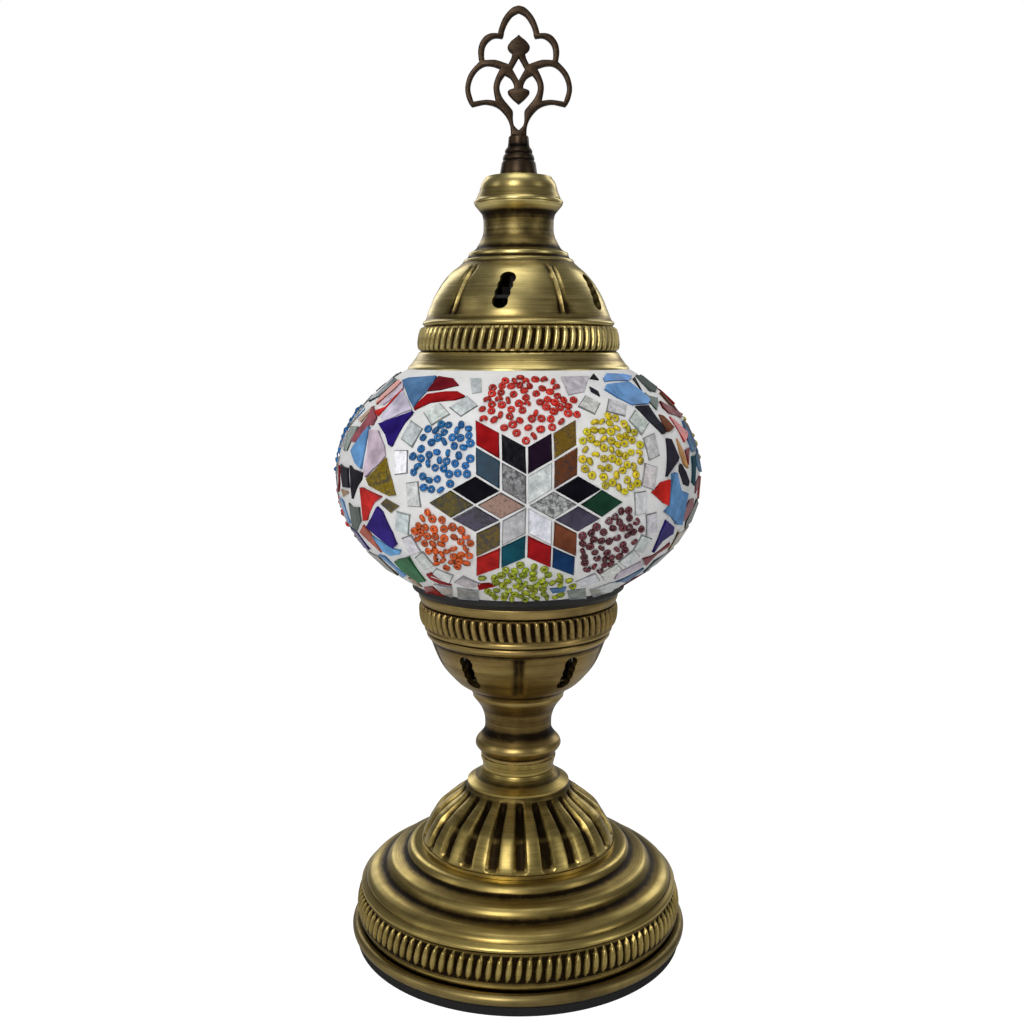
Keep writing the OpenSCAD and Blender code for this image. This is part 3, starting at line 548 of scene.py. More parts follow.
def fluted_crown():
    def flutes(angle, z, r):
        away = np.abs(repeat_phase(angle, FLUTES, FRONT + math.radians(1)))
        along = smooth_step(37.0, 39.4, z) * (1 - smooth_step(55.2, 57.4, z))
        groove = 1 - smooth_step(0.12, 0.27, away)
        round_back = -0.35 * np.clip((0.5 - away) / 0.5, 0, 1) ** 2
        on = (z > 36.9) & (z < 57.8)
        # Colour: painted shade with dark oxide in the grooves, ribs a little paler as wear plus painted highlight.
        return (-1.45 * groove * along + round_back * along) * on, (1.6 * groove - 0.35) * along * on
    crown = curve_through(CROWN, 3)
    face = [(36.2, 35.8), (36.2, 37.0)] + crown + [(18.9, 58.3), (18.9, 59.2), (17.8, 59.9),
        (15.5, 61.3), (14.1, 62.6), (13.2, 64), (PIPE_HOLE, 64), (PIPE_HOLE, 62.8), (12.2, 62.8),
        (13.1, 61.6), (15.3, 60), (16.8, 58.6)]
    core = inset(CROWN, 2.3)[::-1] + [(34.2, 35.8)]
    piece = turned("fluted_crown", face + core, FLUTES * 16, flutes)
    dress(piece, BRASS, "lamp", "antique_brass", "fluted_dome")


def stem():
    collar = [(PIPE_HOLE, 64), (13, 64), (13.1, 65), (13.4, 66.6), (14, 68.9), (12.6, 68.9), (12, 66.6),
        (11.7, 65.4), (PIPE_HOLE, 65.4)]

    def torn_edge(angle, z, r):
        ragged = np.sin(angle * 23) * 0.5 + np.sin(angle * 51 + 1) * 0.35 + np.sin(angle * 9 + 2) * 0.3
        return 0.16 * ragged * smooth_step(66.6, 68.9, z), 0.5 * smooth_step(67.6, 68.9, z)
    dress(turned("stem_ring", eased(collar, 0.35), 256, torn_edge), BRASS, "lamp", "antique_brass",
        "stem_collar")
    core = [(12.2, 70.4), (12.8, 71.8), (13.9, 73.2), (13.6, 74.4), (12.4, 76), (11.3, 78), (10.9, 81),
        (11.1, 84), (12, 87.2), (13.4, 89.8), (14.8, 91.6)]
    vase = [(PIPE_HOLE, 69.0)] + curve_through(VASE[:-1], 3) + [VASE[-1], (PIPE_HOLE, 93), (PIPE_HOLE, 91.6)] \
        + core[::-1] + [(PIPE_HOLE, 70.4)]
    dress(turned("stem_baluster", vase, 160), CUP_BRASS, "lamp", "antique_brass", "stem_vase")


def lobes(start, z_low, z_high, taper, banded):
    """Five swelling lobes parted by a seam: a thin raised line with dark oxide and painted shadow beside it, or a
    sunk band darkened by oxide and painted shade."""
    def relief(angle, z, r):
        share = repeat_phase(angle, LOBES, start)
        away = np.abs(share) * TAU / LOBES * r
        along = smooth_step(z_low - 0.3, z_low + 1.2, z) * (1 - smooth_step(z_high - 1.6, z_high + 0.2, z))
        swell = 0.45 * np.cos(share * TAU) - 0.1
        on = (z > z_low - 0.3) & (z < z_high + 0.3)
        if banded:
            # Sunk band: dark oxide with painted shade, a little lighter down its middle, and a faint wide painted
            # shadow.
            band = np.exp(-(away / 2.1) ** 4)
            return ((-0.4 * band - swell * taper) * along * on,
                (0.95 * band - 0.3 * np.exp(-(away / 0.7) ** 2)
                    + 0.2 * np.exp(-(away / 5) ** 2) - 0.1) * along * on)
        # Raised seam: oxide with painted shade in the channels, a painted shadow beside the seam that is darker
        # low down, a paler raised line and a dark notch at the top.
        channel = np.exp(-((away - 1.15) / 0.65) ** 2)
        ridge = np.exp(-(away / 0.6) ** 2)
        low = 1 - 0.6 * smooth_step(z_low + 1, z_low + 11, z)
        shadow = np.exp(-(away / 5.6) ** 2) * low
        notch = np.exp(-((z - z_high + 1.6) / 1.6) ** 2) * np.exp(-(away / 2.2) ** 2)
        move = (-0.5 * channel + 0.25 * ridge - swell * taper) * along
        return move * on, ((0.5 * channel + 1.25 * shadow - 0.55 * ridge - 0.35) * along + notch) * on
    return relief


def vent_cutter(bm, turn, radius, height, lean, tilt):
    """A scalloped slot of four overlapping rounds, cut square to a sloping wall."""
    round_r, pitch = 2.7, 3.02
    half = 1.5 * pitch + round_r
    ys = np.linspace(-half, half, 49)
    wide = [max(math.sqrt(max(round_r ** 2 - (y - k * pitch) ** 2, 0)) for k in (-1.5, -0.5, 0.5, 1.5))
        for y in ys]
    side = [(w, y) for y, w in zip(ys, wide)]
    rim = side + [(-w, y) for w, y in side[::-1][1:-1]]
    out = Vector((math.sin(lean), 0, math.cos(lean)))
    up = Vector((-math.cos(lean), 0, math.sin(lean)))
    across = Vector((0, 1, 0))
    place = Matrix.Rotation(turn, 4, "Z") @ Matrix.Translation((radius * MM, 0, height * MM)) \
        @ Matrix((across, up, out)).transposed().to_4x4() @ Matrix.Rotation(tilt, 4, "Z")
    verts = [bm.verts.new((x * MM, y * MM, -6 * MM)) for x, y in rim]
    face = bm.faces.new(verts)
    grown = bmesh.ops.extrude_face_region(bm, geom=[face])["geom"]
    tops = [g for g in grown if isinstance(g, bmesh.types.BMVert)]
    bmesh.ops.translate(bm, verts=tops, vec=(0, 0, 12 * MM))
    bmesh.ops.transform(bm, matrix=place, verts=verts + tops)


def vents(piece, start, radius, height, lean, tilt):
    bm = bmesh.new()
    for k in range(LOBES):
        vent_cutter(bm, start + TAU / LOBES * (k + 0.5), radius, height, math.radians(lean), math.radians(tilt))
    cut_away(piece, bm)


def ribbed_strip(low_z, high_z, low_r, high_r, belly, slant, start):
    """Outline and ornament of a thin strip of leaf-shaped ribs."""
    middle, half = (low_z + high_z) / 2, (high_z - low_z) / 2
    rows = [(low_r + (high_r - low_r) * (z - low_z) / (high_z - low_z), z)
        for z in np.linspace(low_z, high_z, 17)]

    def leaves(angle, z, r):
        up = (z - middle) / half
        away = repeat_phase(angle, STRIP_RIBS, start, slant, up - 0.35 * up * up)
        length = np.clip(1 - np.abs(up) ** 2.4, 0, 1)
        hump = np.sqrt(np.clip(1 - (away / np.maximum(0.36 * length ** 0.35, 1e-3)) ** 2, 0, 1))
        # Colour: painted shade with dark oxide between the leaves, crests paler as wear plus painted highlight.
        return (belly * hump * length ** 0.5 - 0.15) * (length > 0), (1.35 - 2.1 * hump)
    return rows, leaves


CUP_SEAM = math.radians(-90)
CAP_SEAM = math.radians(28 - 90)


def lower_cup():
    rise = [(17, 93), (17.6, 94), (18.6, 95.4)]
    bowl = curve_through(BOWL, 3)
    rim = [(33.6, 115.4), (33.6, 116.4), (33.2, 117.1), (34.4, 117.6), (34.4, 118.6), (34.2, 119),
        (34.6, 127.6), (35.6, 128), (36, 129), (36.4, 130), (36.4, 131.3), (35.2, 131.3), (35.2, 130),
        (34.3, 128.6), (33.4, 127.6), (33, 119), (32, 117.4), (31.2, 115.6)]
    core = inset(BOWL, 2.1)[::-1] + [(15, 94.2), (PIPE_HOLE, 94.2), (PIPE_HOLE, 93)]
    outline = eased(rise, 0.01, 1)[1:] + bowl + eased([bowl[-1]] + rim + [core[0]], 0.3, 2)[3:-3] + core
    cup = turned("cup_bowl", outline, 360, lobes(CUP_SEAM, 96.5, 113.6, 0.35, True))
    vents(cup, CUP_SEAM, 29, 106, 116, 0)
    dress(cup, CUP_BRASS, "lamp", "antique_brass", "cup_shell")
    rows, leaves = ribbed_strip(119.4, 127.4, 34.75, 35.45, 1.35, -0.16, FRONT)
    strip = turned("cup_strip", rows + [(34.75, 127.4), (34.45, 119.4)], STRIP_RIBS * 11, leaves)
    dress(strip, CUP_BRASS, "lamp", "antique_brass", "cup_gallery")


def cap():
    flare = [(39.4, 211.2), (39.2, 212), (38.1, 213), (37.4, 214), (36.6, 215), (36, 216), (35.5, 217),
        (34.6, 217.5), (33.2, 226.3), (33.9, 226.8), (33.9, 227.7), (33, 228.2)]
    neck = [(19.6, 248.2), (19.3, 249.2), (18.1, 249.7), (17.6, 250.6), (17.5, 251.6), (16.2, 252.1),
        (15, 253), (13.8, 255), (12.8, 257), (12.3, 259), (12.3, 263), (12.8, 265), (14.5, 267),
        (15.4, 268.1), (15.4, 268.5), (STUD_HOLE, 268.5), (STUD_HOLE, 267.3), (12.6, 267.3),
        (11.5, 265.4), (11.1, 263), (11.1, 259), (11.7, 256.6), (12.8, 254.2), (13.9, 252.4), (15.4, 251),
        (16.4, 249), (17.4, 247.4)]
    skirt = [(31.6, 228), (32, 226.4), (33.3, 218), (33.3, 214.6), (37, 214.6), (37, 213.8),
        (37.7, 212.6), (38.2, 211.2)]
    dome = curve_through(DOME, 3)
    core = inset(DOME, 2.0)[::-1]
    outline = eased([skirt[-1]] + flare + [dome[0]], 0.45, 3)[4:-4] + dome \
        + eased([dome[-1]] + neck + [core[0]], 0.4, 3)[4:-4] + core + skirt
    piece = turned("cap_bell", outline, 360, lobes(CAP_SEAM, 229.6, 246.6, 0.45, False))
    vents(piece, CAP_SEAM - math.radians(2), 28.5, 237.8, 61, -12)
    dress(piece, CAP_BRASS, "cap", "antique_brass", "cap_shell")
    rows, leaves = ribbed_strip(217.7, 226.1, 35.1, 33.95, 1.35, 0.22, FRONT)
    strip = turned("cap_strip", rows + [(33.35, 226.1), (34.75, 217.7)], STRIP_RIBS * 11, leaves)
    dress(strip, CAP_BRASS, "cap", "antique_brass", "cap_gallery")
    ring = [(13.4, 268.55), (15.6, 268.55), (15.6, 269.3), (14.8, 270), (14.4, 271), (14, 272), (13.6, 273),
        (13.4, 274), (13.1, 275), (12.6, 276), (11.8, 277), (11.6, 277.5), (STUD_HOLE, 277.5),
        (STUD_HOLE, 276.3), (10.8, 276.3), (11.7, 274.9), (12.1, 272.9), (13, 270.3)]
    dress(turned("cap_ring", eased(ring, 0.4), 160), CAP_BRASS, "cap", "antique_brass", "cap_collar")


# ---------------------------------------------------------------- finial
CREST_EDGE = joined_runs([
    [(0, 55.9), (-2.1, 55.3), (-4.3, 53.3), (-5.8, 51), (-6.8, 48.4), (-7.2, 46.9)],
    [(-7.2, 46.9), (-9.5, 46.9), (-11.7, 45.9), (-13.4, 43.6), (-14, 41.1), (-13.9, 39), (-13.6, 37.5)],
    [(-13.6, 37.5), (-15.9, 35.2), (-17.6, 32.6), (-18.5, 28.9), (-18.1, 25.9), (-17.1, 23.7), (-16.1, 22.5)],
    [(-16.1, 22.5), (-13.9, 23), (-11.7, 23.4), (-9.1, 23), (-6.9, 22), (-4.7, 19.8), (-3.4, 17.5),
        (-2.9, 15.4), (-2.8, 12.4), (-2.8, 8.3)]])
CREST_TOP = joined_runs([
    [(0, 53.5), (-2.1, 52.4), (-3.8, 50.1), (-4.8, 47.8), (-5.1, 46.1), (-5.6, 45.1)],
    [(-5.6, 45.1), (-8.2, 45.3), (-10.2, 44.2), (-11.5, 42.3), (-11.8, 39.8), (-11.6, 38.1)],
    [(-11.6, 38.1), (-8.2, 38.2), (-5.6, 37.5), (-3.6, 36.8)],
    [(-3.6, 36.8), (-2.7, 38.5), (-2.3, 40.2)],
    [(-2.3, 40.2), (-3.4, 41.1), (-3.9, 42.5), (-2.5, 44.4), (-0.8, 45.7), (0, 46.5)]])
CREST_DIAMOND = [(0, 38.7), (-2.1, 35.1), (0, 31.5), (2.1, 35.1)]
CREST_LOBE = joined_runs([
    [(-15.5, 24.4), (-16.6, 28.4), (-15.9, 31.8), (-14.1, 34.5), (-11.7, 36), (-9.1, 36), (-6.5, 35.2)],
    [(-6.5, 35.2), (-8, 32.2), (-8.8, 28.9), (-8.1, 24.7)],
    [(-8.1, 24.7), (-11.3, 25), (-15.5, 24.4)]])[:-1]
CREST_TULIP = joined_runs([
    [(0, 14.9), (-1.5, 16.4), (-1.9, 18.6), (-1.9, 21), (-2.9, 22.5), (-5.4, 25.5), (-6.5, 28.4),
        (-6.1, 31), (-4.7, 33)],
    [(-4.7, 33), (-2.9, 32), (-1.8, 30.1), (-1.7, 28.8)],
    [(-1.7, 28.8), (-3.4, 28.2), (-3.8, 27.1), (-2.1, 25.1), (0, 23.4)]])
CREST_T = 2.6


def mirrored(points):
    return [(-x, z) for x, z in reversed(points)]


def whole(points):
    """A half outline from the middle line, closed by its mirror image."""
    other = [q for q in mirrored(points) if abs(q[0]) > 1e-6]
    return points + other


def crest():
    """The pierced crest, cast flat with rounded edges."""
    round_off = 0.42
    sheet = bpy.data.curves.new("crest", "CURVE")
    sheet.dimensions, sheet.fill_mode = "2D", "BOTH"
    sheet.extrude = (CREST_T / 2 - round_off) * MM
    sheet.bevel_depth, sheet.bevel_resolution, sheet.offset = round_off * MM, 2, -round_off * MM * 1.15
    for line in (whole(CREST_EDGE), whole(CREST_TOP), CREST_DIAMOND, CREST_LOBE, mirrored(CREST_LOBE),
            whole(CREST_TULIP)):
        spline = sheet.splines.new("POLY")
        spline.points.add(len(line) - 1)
        for point, (x, z) in zip(spline.points, line):
            point.co = (x * MM, z * MM, 0, 1)
        spline.use_cyclic_u = True
    holder = set_down("crest_sheet", sheet)
    bpy.context.view_layer.update()
    mesh = bpy.data.meshes.new_from_object(holder.evaluated_get(bpy.context.evaluated_depsgraph_get()))
    bpy.data.objects.remove(holder)
    mesh.transform(Matrix.Translation((0, 0, FINIAL_Z * MM)) @ Matrix.Rotation(math.pi / 2, 4, "X"))
    bm = bmesh.new()
    bm.from_mesh(mesh)
    bmesh.ops.remove_doubles(bm, verts=bm.verts, dist=1e-5)
    bmesh.ops.recalc_face_normals(bm, faces=bm.faces)
    bm.to_mesh(mesh)
    bm.free()
    mesh.name = "crest"
    dress(placed("crest", mesh, 40), BRONZE, "finial", "bronze")


def finial():
    z = FINIAL_Z
    bore = 3.05
    base = [(bore, z), (6.5, z), (6.4, z + 1), (5.9, z + 4), (5.3, z + 4.6), (5.6, z + 5.2), (5.1, z + 6.6),
        (4.6, z + 7), (4.9, z + 7.6), (4.5, z + 8.6), (3.9, z + 9), (3.7, z + 10), (3.5, z + 12.6),
        (2.6, z + 13.4), (0, z + 13.4), (0, z + 7), (bore, z + 7)]
    outline = eased(base, 0.35, 2)[:-9] + [(0, z + 13.4), (0, z + 7), (bore, z + 7)]
    dress(turned("finial_base", outline, 96), BRONZE, "finial", "bronze", "finial")
    crest()


# ---------------------------------------------------------------- globe
ARC_T = np.linspace(-math.pi / 2, math.pi / 2, 2001)
ARC_LENGTH = np.concatenate([[0], np.cumsum(np.hypot(TILE_A * np.sin(ARC_T[1:]), TILE_B * np.cos(ARC_T[1:]))
    * (ARC_T[1] - ARC_T[0]))])
ARC_LENGTH -= ARC_LENGTH[1000]


def arc_angle(v):
    """Latitude angle at v mm up the globe's side from its middle."""
    return float(np.interp(v, ARC_LENGTH, ARC_T))


def on_globe(turn, t, a=TILE_A, b=TILE_B):
    """Point and outward normal at turn degrees right of the front and latitude angle t."""
    lon = math.radians(turn) + FRONT
    n = Vector((math.cos(lon) * math.cos(t) / a, math.sin(lon) * math.cos(t) / a, math.sin(t) / b)).normalized()
    return Vector((a * math.cos(lon) * math.cos(t), a * math.sin(lon) * math.cos(t),
        b * math.sin(t) + GLOBE_MID)), n


def local_spot(middle, u, v):
    """(turn, latitude) of a point u mm right and v mm up of the globe's middle line at turn middle."""
    t = arc_angle(v)
    return middle + math.degrees(u / (TILE_A * math.cos(t))), t


def height_spot(turn, z):
    return turn, math.asin(max(-1, min(1, (z - GLOBE_MID) / TILE_B)))


class Mosaic:
    """Flat glass pieces laid on the globe, kept as one mesh with a colour for each piece."""

    def __init__(self):
        self.bm = bmesh.new()
        self.pieces = []

    def lay(self, spots, kind, colour, rng):
        points = [on_globe(*s)[0] for s in spots]
        middle = sum(points, Vector()) / len(points)
        flat = Vector((middle.x, middle.y, 0))
        turn = math.degrees(math.atan2(flat.y, flat.x) - FRONT)
        t = math.atan2((middle.z - GLOBE_MID) / TILE_B, flat.length / TILE_A)
        top, n = on_globe(turn, t)
        depth = sum((p - top).dot(n) for p in points) / len(points)
        n = (n + Vector((rng.uniform(-1, 1), rng.uniform(-1, 1), rng.uniform(-1, 1))) * 0.02).normalized()
        level = top + n * depth * 0.45
        points = [p - n * (p - level).dot(n) for p in points]
        area = sum((points[i].cross(points[(i + 1) % len(points)]) for i in range(len(points))), Vector())
        if area.dot(n) < 0:
            points.reverse()
        mark = len(self.pieces)
        face = self.bm.faces.new([self.bm.verts.new(p * MM) for p in points])
        face.material_index = mark
        grown = bmesh.ops.extrude_face_region(self.bm, geom=[face])["geom"]
        tops = [g for g in grown if isinstance(g, bmesh.types.BMVert)]
        lower = list(face.verts)
        bmesh.ops.translate(self.bm, verts=lower, vec=-n * TILE_T * MM)
        self.pieces.append((kind, colour, n, tops))

    def finish(self, name, materials, painted_edge_shade):
        rims = []
        for kind, colour, n, tops in self.pieces:
            ring = set(tops)
            rims += [e for e in {e for v in tops for e in v.link_edges}
                if e.verts[0] in ring and e.verts[1] in ring]
        bmesh.ops.bevel(self.bm, geom=list(dict.fromkeys(rims)), offset=0.28 * MM, offset_type="OFFSET",
            segments=1, profile=0.5, affect="EDGES", material=-1, clamp_overlap=True)
        bmesh.ops.recalc_face_normals(self.bm, faces=self.bm.faces)
        mesh = poured(name, self.bm)
        count = len(mesh.polygons)
        mark = np.zeros(count, np.int32)
        mesh.polygons.foreach_get("material_index", mark)
        normal = np.zeros(count * 3)
        mesh.polygons.foreach_get("normal", normal)
        normals = np.array([p[2] for p in self.pieces])[mark]
        is_top = np.sum(normal.reshape(-1, 3) * normals, axis=1) > 0.97
        colour = np.array([p[1] for p in self.pieces], float)[mark]
        # The bevelled sides get the piece's colour darkened: painted shade along the edges of every piece.
        shade = np.where(is_top, 1.0, painted_edge_shade)
        tint = np.concatenate([colour * shade[:, None], np.ones((count, 1))], axis=1)
        total = np.zeros(count, np.int32)
        mesh.polygons.foreach_get("loop_total", total)
        paint(mesh, np.repeat(tint, total, axis=0))
        kinds = np.array([GLASS_KINDS[p[0]] for p in self.pieces], np.int32)[mark]
        used = sorted(set(kinds.tolist()))
        mesh.polygons.foreach_set("material_index", np.array([used.index(k) for k in kinds], np.int32))
        mesh.update()
        return set_down(name, mesh), [materials[k] for k in used]


# Colours of the glass, as linear values
COLOURS = {
    "MAROON": (0.22, 0.012, 0.02), "RED": (0.62, 0.025, 0.02), "DEEP_RED": (0.36, 0.01, 0.012),
    "TEAL": (0.008, 0.07, 0.10), "SEA": (0.008, 0.045, 0.085), "DARK_GREEN": (0.012, 0.05, 0.03),
    "GREEN": (0.03, 0.20, 0.07), "BLACK": (0.008, 0.008, 0.012), "VIOLET_BLACK": (0.018, 0.008, 0.022),
    "SLATE_VIOLET": (0.09, 0.075, 0.12), "INDIGO": (0.03, 0.015, 0.20), "SKY": (0.16, 0.38, 0.72),
    "STEEL_BLUE": (0.10, 0.22, 0.42), "LILAC_PALE": (0.70, 0.60, 0.72), "ROSE": (0.34, 0.10, 0.12),
    "SLATE": (0.20, 0.23, 0.27), "GREY": (0.42, 0.45, 0.46), "SALMON": (0.58, 0.14, 0.09),
    "PEACH": (0.72, 0.36, 0.14), "SLATE_BLACK": (0.028, 0.026, 0.036), "GREY_GREEN": (0.12, 0.16, 0.14),
    "YELLOW": (0.50, 0.35, 0.012), "NAVY": (0.010, 0.05, 0.17), "OLIVE": (0.17, 0.12, 0.015),
    "GOLD": (0.38, 0.24, 0.02), "RUST": (0.30, 0.09, 0.03), "TAN": (0.45, 0.27, 0.13),
    "SILVER": (0.62, 0.65, 0.65), "CLEAR": (0.94, 0.96, 0.96), "MIRROR_PINK": (0.42, 0.26, 0.20),
    "BROWN": (0.22, 0.07, 0.03)}

# Star arms clockwise from the upper right: inner, outer, left and right rhomb as the arm points
STAR_ARMS = [
    (("clear", "CLEAR"), ("speckled", "GOLD"), ("stained", "VIOLET_BLACK"), ("speckled", "RUST")),
    (("speckled", "SILVER"), ("stained", "DARK_GREEN"), ("stained", "BLACK"), ("stained", "SLATE_VIOLET")),
    (("clear", "CLEAR"), ("stained", "NAVY"), ("stained", "BROWN"), ("stained", "DEEP_RED")),
    (("clear", "SILVER"), ("stained", "RED"), ("stained", "TEAL"), ("speckled", "OLIVE")),
    (("mirror", "MIRROR_PINK"), ("speckled", "OLIVE"), ("speckled", "SLATE_VIOLET"), ("stained", "BLACK")),
    (("speckled", "GREY"), ("stained", "DEEP_RED"), ("stained", "SEA"), ("stained", "BLACK"))]
# Bead clusters of a star: turn, distance from its middle, reach, colour
CLUSTERS = [(2, 31.4, 15.5, (0.50, 0.016, 0.007)), (62, 33.8, 13, (0.56, 0.45, 0.007)),
    (117, 31.3, 13, (0.105, 0.016, 0.025)), (178, 31.6, 15.5, (0.27, 0.32, 0.010)),
    (-117, 29.3, 12, (0.56, 0.085, 0.009)), (-61, 30.4, 13, (0.010, 0.13, 0.36))]
BORDER = [(-45, 41.7), (-60, 44.5), (-74, 44.3), (-86.5, 37.4), (-100, 43), (-112, 42.5), (-123, 41.5),
    (-136, 40.5),
    (-149, 37.5), (-31, 38.5), (32, 39.5), (45, 45), (57, 47.8), (69, 47.6),
    (80, 43.6), (91, 39.2), (101, 45.5), (111, 45), (121, 43.5), (133, 41), (146, 38.5)]

# Shards between the stars: a colour, then corners in degrees right of the front and mm of height
SHARD_KINDS = {"CLEAR": "clear", "SILVER": "clear", "YELLOW": "speckled", "OLIVE": "speckled",
    "GOLD": "speckled"}


def shards(table):
    """Kind, colour and corners of every shard in a table."""
    found = []
    for entry in table.split(";"):
        name, *numbers = entry.split()
        numbers = [float(number) for number in numbers]
        corners = list(zip(numbers[::2], numbers[1::2]))
        found.append((SHARD_KINDS.get(name, "stained"), COLOURS[name], corners))
    return found


LEFT_FIELD = shards("""
    STEEL_BLUE -57.5 207.5 -55 208.5 -38.5 209.5 -37 207 -37.5 204.5 -38.5 202 -38 199.5 -44 202.5;
    MAROON -37.5 209.5 -29 209 -24.5 207 -31.5 205.5 -37 205;
    DEEP_RED -37.5 199 -37.5 201.5 -36 204 -29 205 -23.5 205 -19.5 203.5 -23 202.5 -32.5 201.5;
    CLEAR -21 209 -16 209 -14 205 -17.5 204.5;
    LILAC_PALE -52 196 -52.5 198 -51 201.5 -50 204.5 -43.5 202 -38.5 199 -41 198.5 -46 196.5 -49.5 195;
    SALMON -63.5 200.5 -64.5 202.5 -64.5 205.5 -64 208 -59 207.5 -58.5 205 -61.5 200;
    LILAC_PALE -59.5 200.5 -57 205 -57 207.5 -52 205.5 -53.5 202.5 -56 200;
    RED -56.5 197 -59 198 -54 199.5 -51.5 205 -50.5 204.5 -52 202 -53.5 198.5 -54.5 196.5;
    INDIGO -51 194 -37.5 198.5 -37.5 197.5 -39 195 -40.5 188 -41 187.5 -42.5 188 -45.5 191;
    ROSE -61.5 187.5 -65 187.5 -65 189 -61.5 196 -62 199 -54.5 196 -54.5 193.5 -57 193.5 -60.5 188.5;
    SKY -63 184.5 -62.5 186 -58.5 191 -56 193 -55.5 192.5 -53.5 186 -53 181.5 -53 179.5 -57.5 181;
    LILAC_PALE -52 185 -53 189 -54 192 -49.5 192 -44 187.5 -42.5 184.5 -44.5 182 -47.5 179.5 -50 177
    -51.5 179;
    YELLOW -49.5 176.5 -43 183 -42 184 -41 182 -38.5 177 -37 172.5 -39.5 172 -48 174.5;
    SLATE_BLACK -60.5 180 -58 179 -52 178.5 -52.5 176 -55 173.5 -58.5 169 -59.5 173;
    SLATE_BLACK -70.5 179.5 -67 179 -62 179 -60.5 172.5 -66.5 172 -69.5 176;
    GREY_GREEN -73.5 192 -64.5 192.5 -65.5 189.5 -66.5 184.5 -70 184 -73.5 188;
    SKY -73.5 195.5 -73.5 198.5 -71 198 -73.5 195;
    TAN -69 194.5 -64.5 199 -62.5 199.5 -63 197.5 -64.5 194;
    RED -53 173.5 -51.5 173.5 -42.5 171.5 -46.5 169 -50 165 -52 162.5 -54.5 162 -54 165;
    OLIVE -43.5 169 -41 171 -36 169 -39.5 166.5;
    INDIGO -54 160 -49 164 -45 168 -43 166.5 -41 159.5 -41 155.5 -43.5 154 -47 155.5;
    SKY -52.5 157 -48 155 -44 153.5 -40.5 153.5 -42 152 -48 150.5 -51.5 151.5 -52 154;
    GREEN -49 148 -45 149.5 -38 151.5 -39 142 -45.5 140.5 -49.5 144.5;
    SALMON -61.5 157 -55.5 160.5 -53 157.5 -53 151 -54.5 152 -58.5 154.5;
    GREY_GREEN -62.5 167 -60 166 -55 166.5 -56.5 161.5 -64.5 157 -66.5 158.5;
    SKY -57 149.5 -52.5 149.5 -50 142.5 -55.5 141 -54 145;
    TAN -50.5 141.5 -46 142 -48.5 138 -54 137.5;
    TAN -69 171 -62.5 171 -61.5 170.5 -67.5 168.5;
    DEEP_RED -35.5 145 -32.5 146 -30 143.5 -27 141.5 -32.5 141.5 -35.5 143;
    DEEP_RED -47 138 -39 139.5 -41 134.5 -57.5 134.5;
    SILVER -36 141 -28 140.5 -35 135 -39.5 136;
    SILVER -25.5 140.5 -16.5 140 -20 135 -31.5 135;
    DEEP_RED -15.5 143 -11 143.5 -8.5 142.5 -16 140.5;
    INDIGO -65.5 156 -73.5 157 -73.5 149.5 -63 150.5;
    OLIVE -59 148.5 -73.5 148.5 -72 141.5 -58 141.5;
    SKY -68.5 166.8 -73.5 167.5 -73.5 158.5 -68.5 159;
    DEEP_RED -71.5 178 -73.5 178.8 -73.5 169.5 -71 172.5;
    TEAL -66 208 -73.5 208.5 -73.5 200.5 -66.5 202.5""")
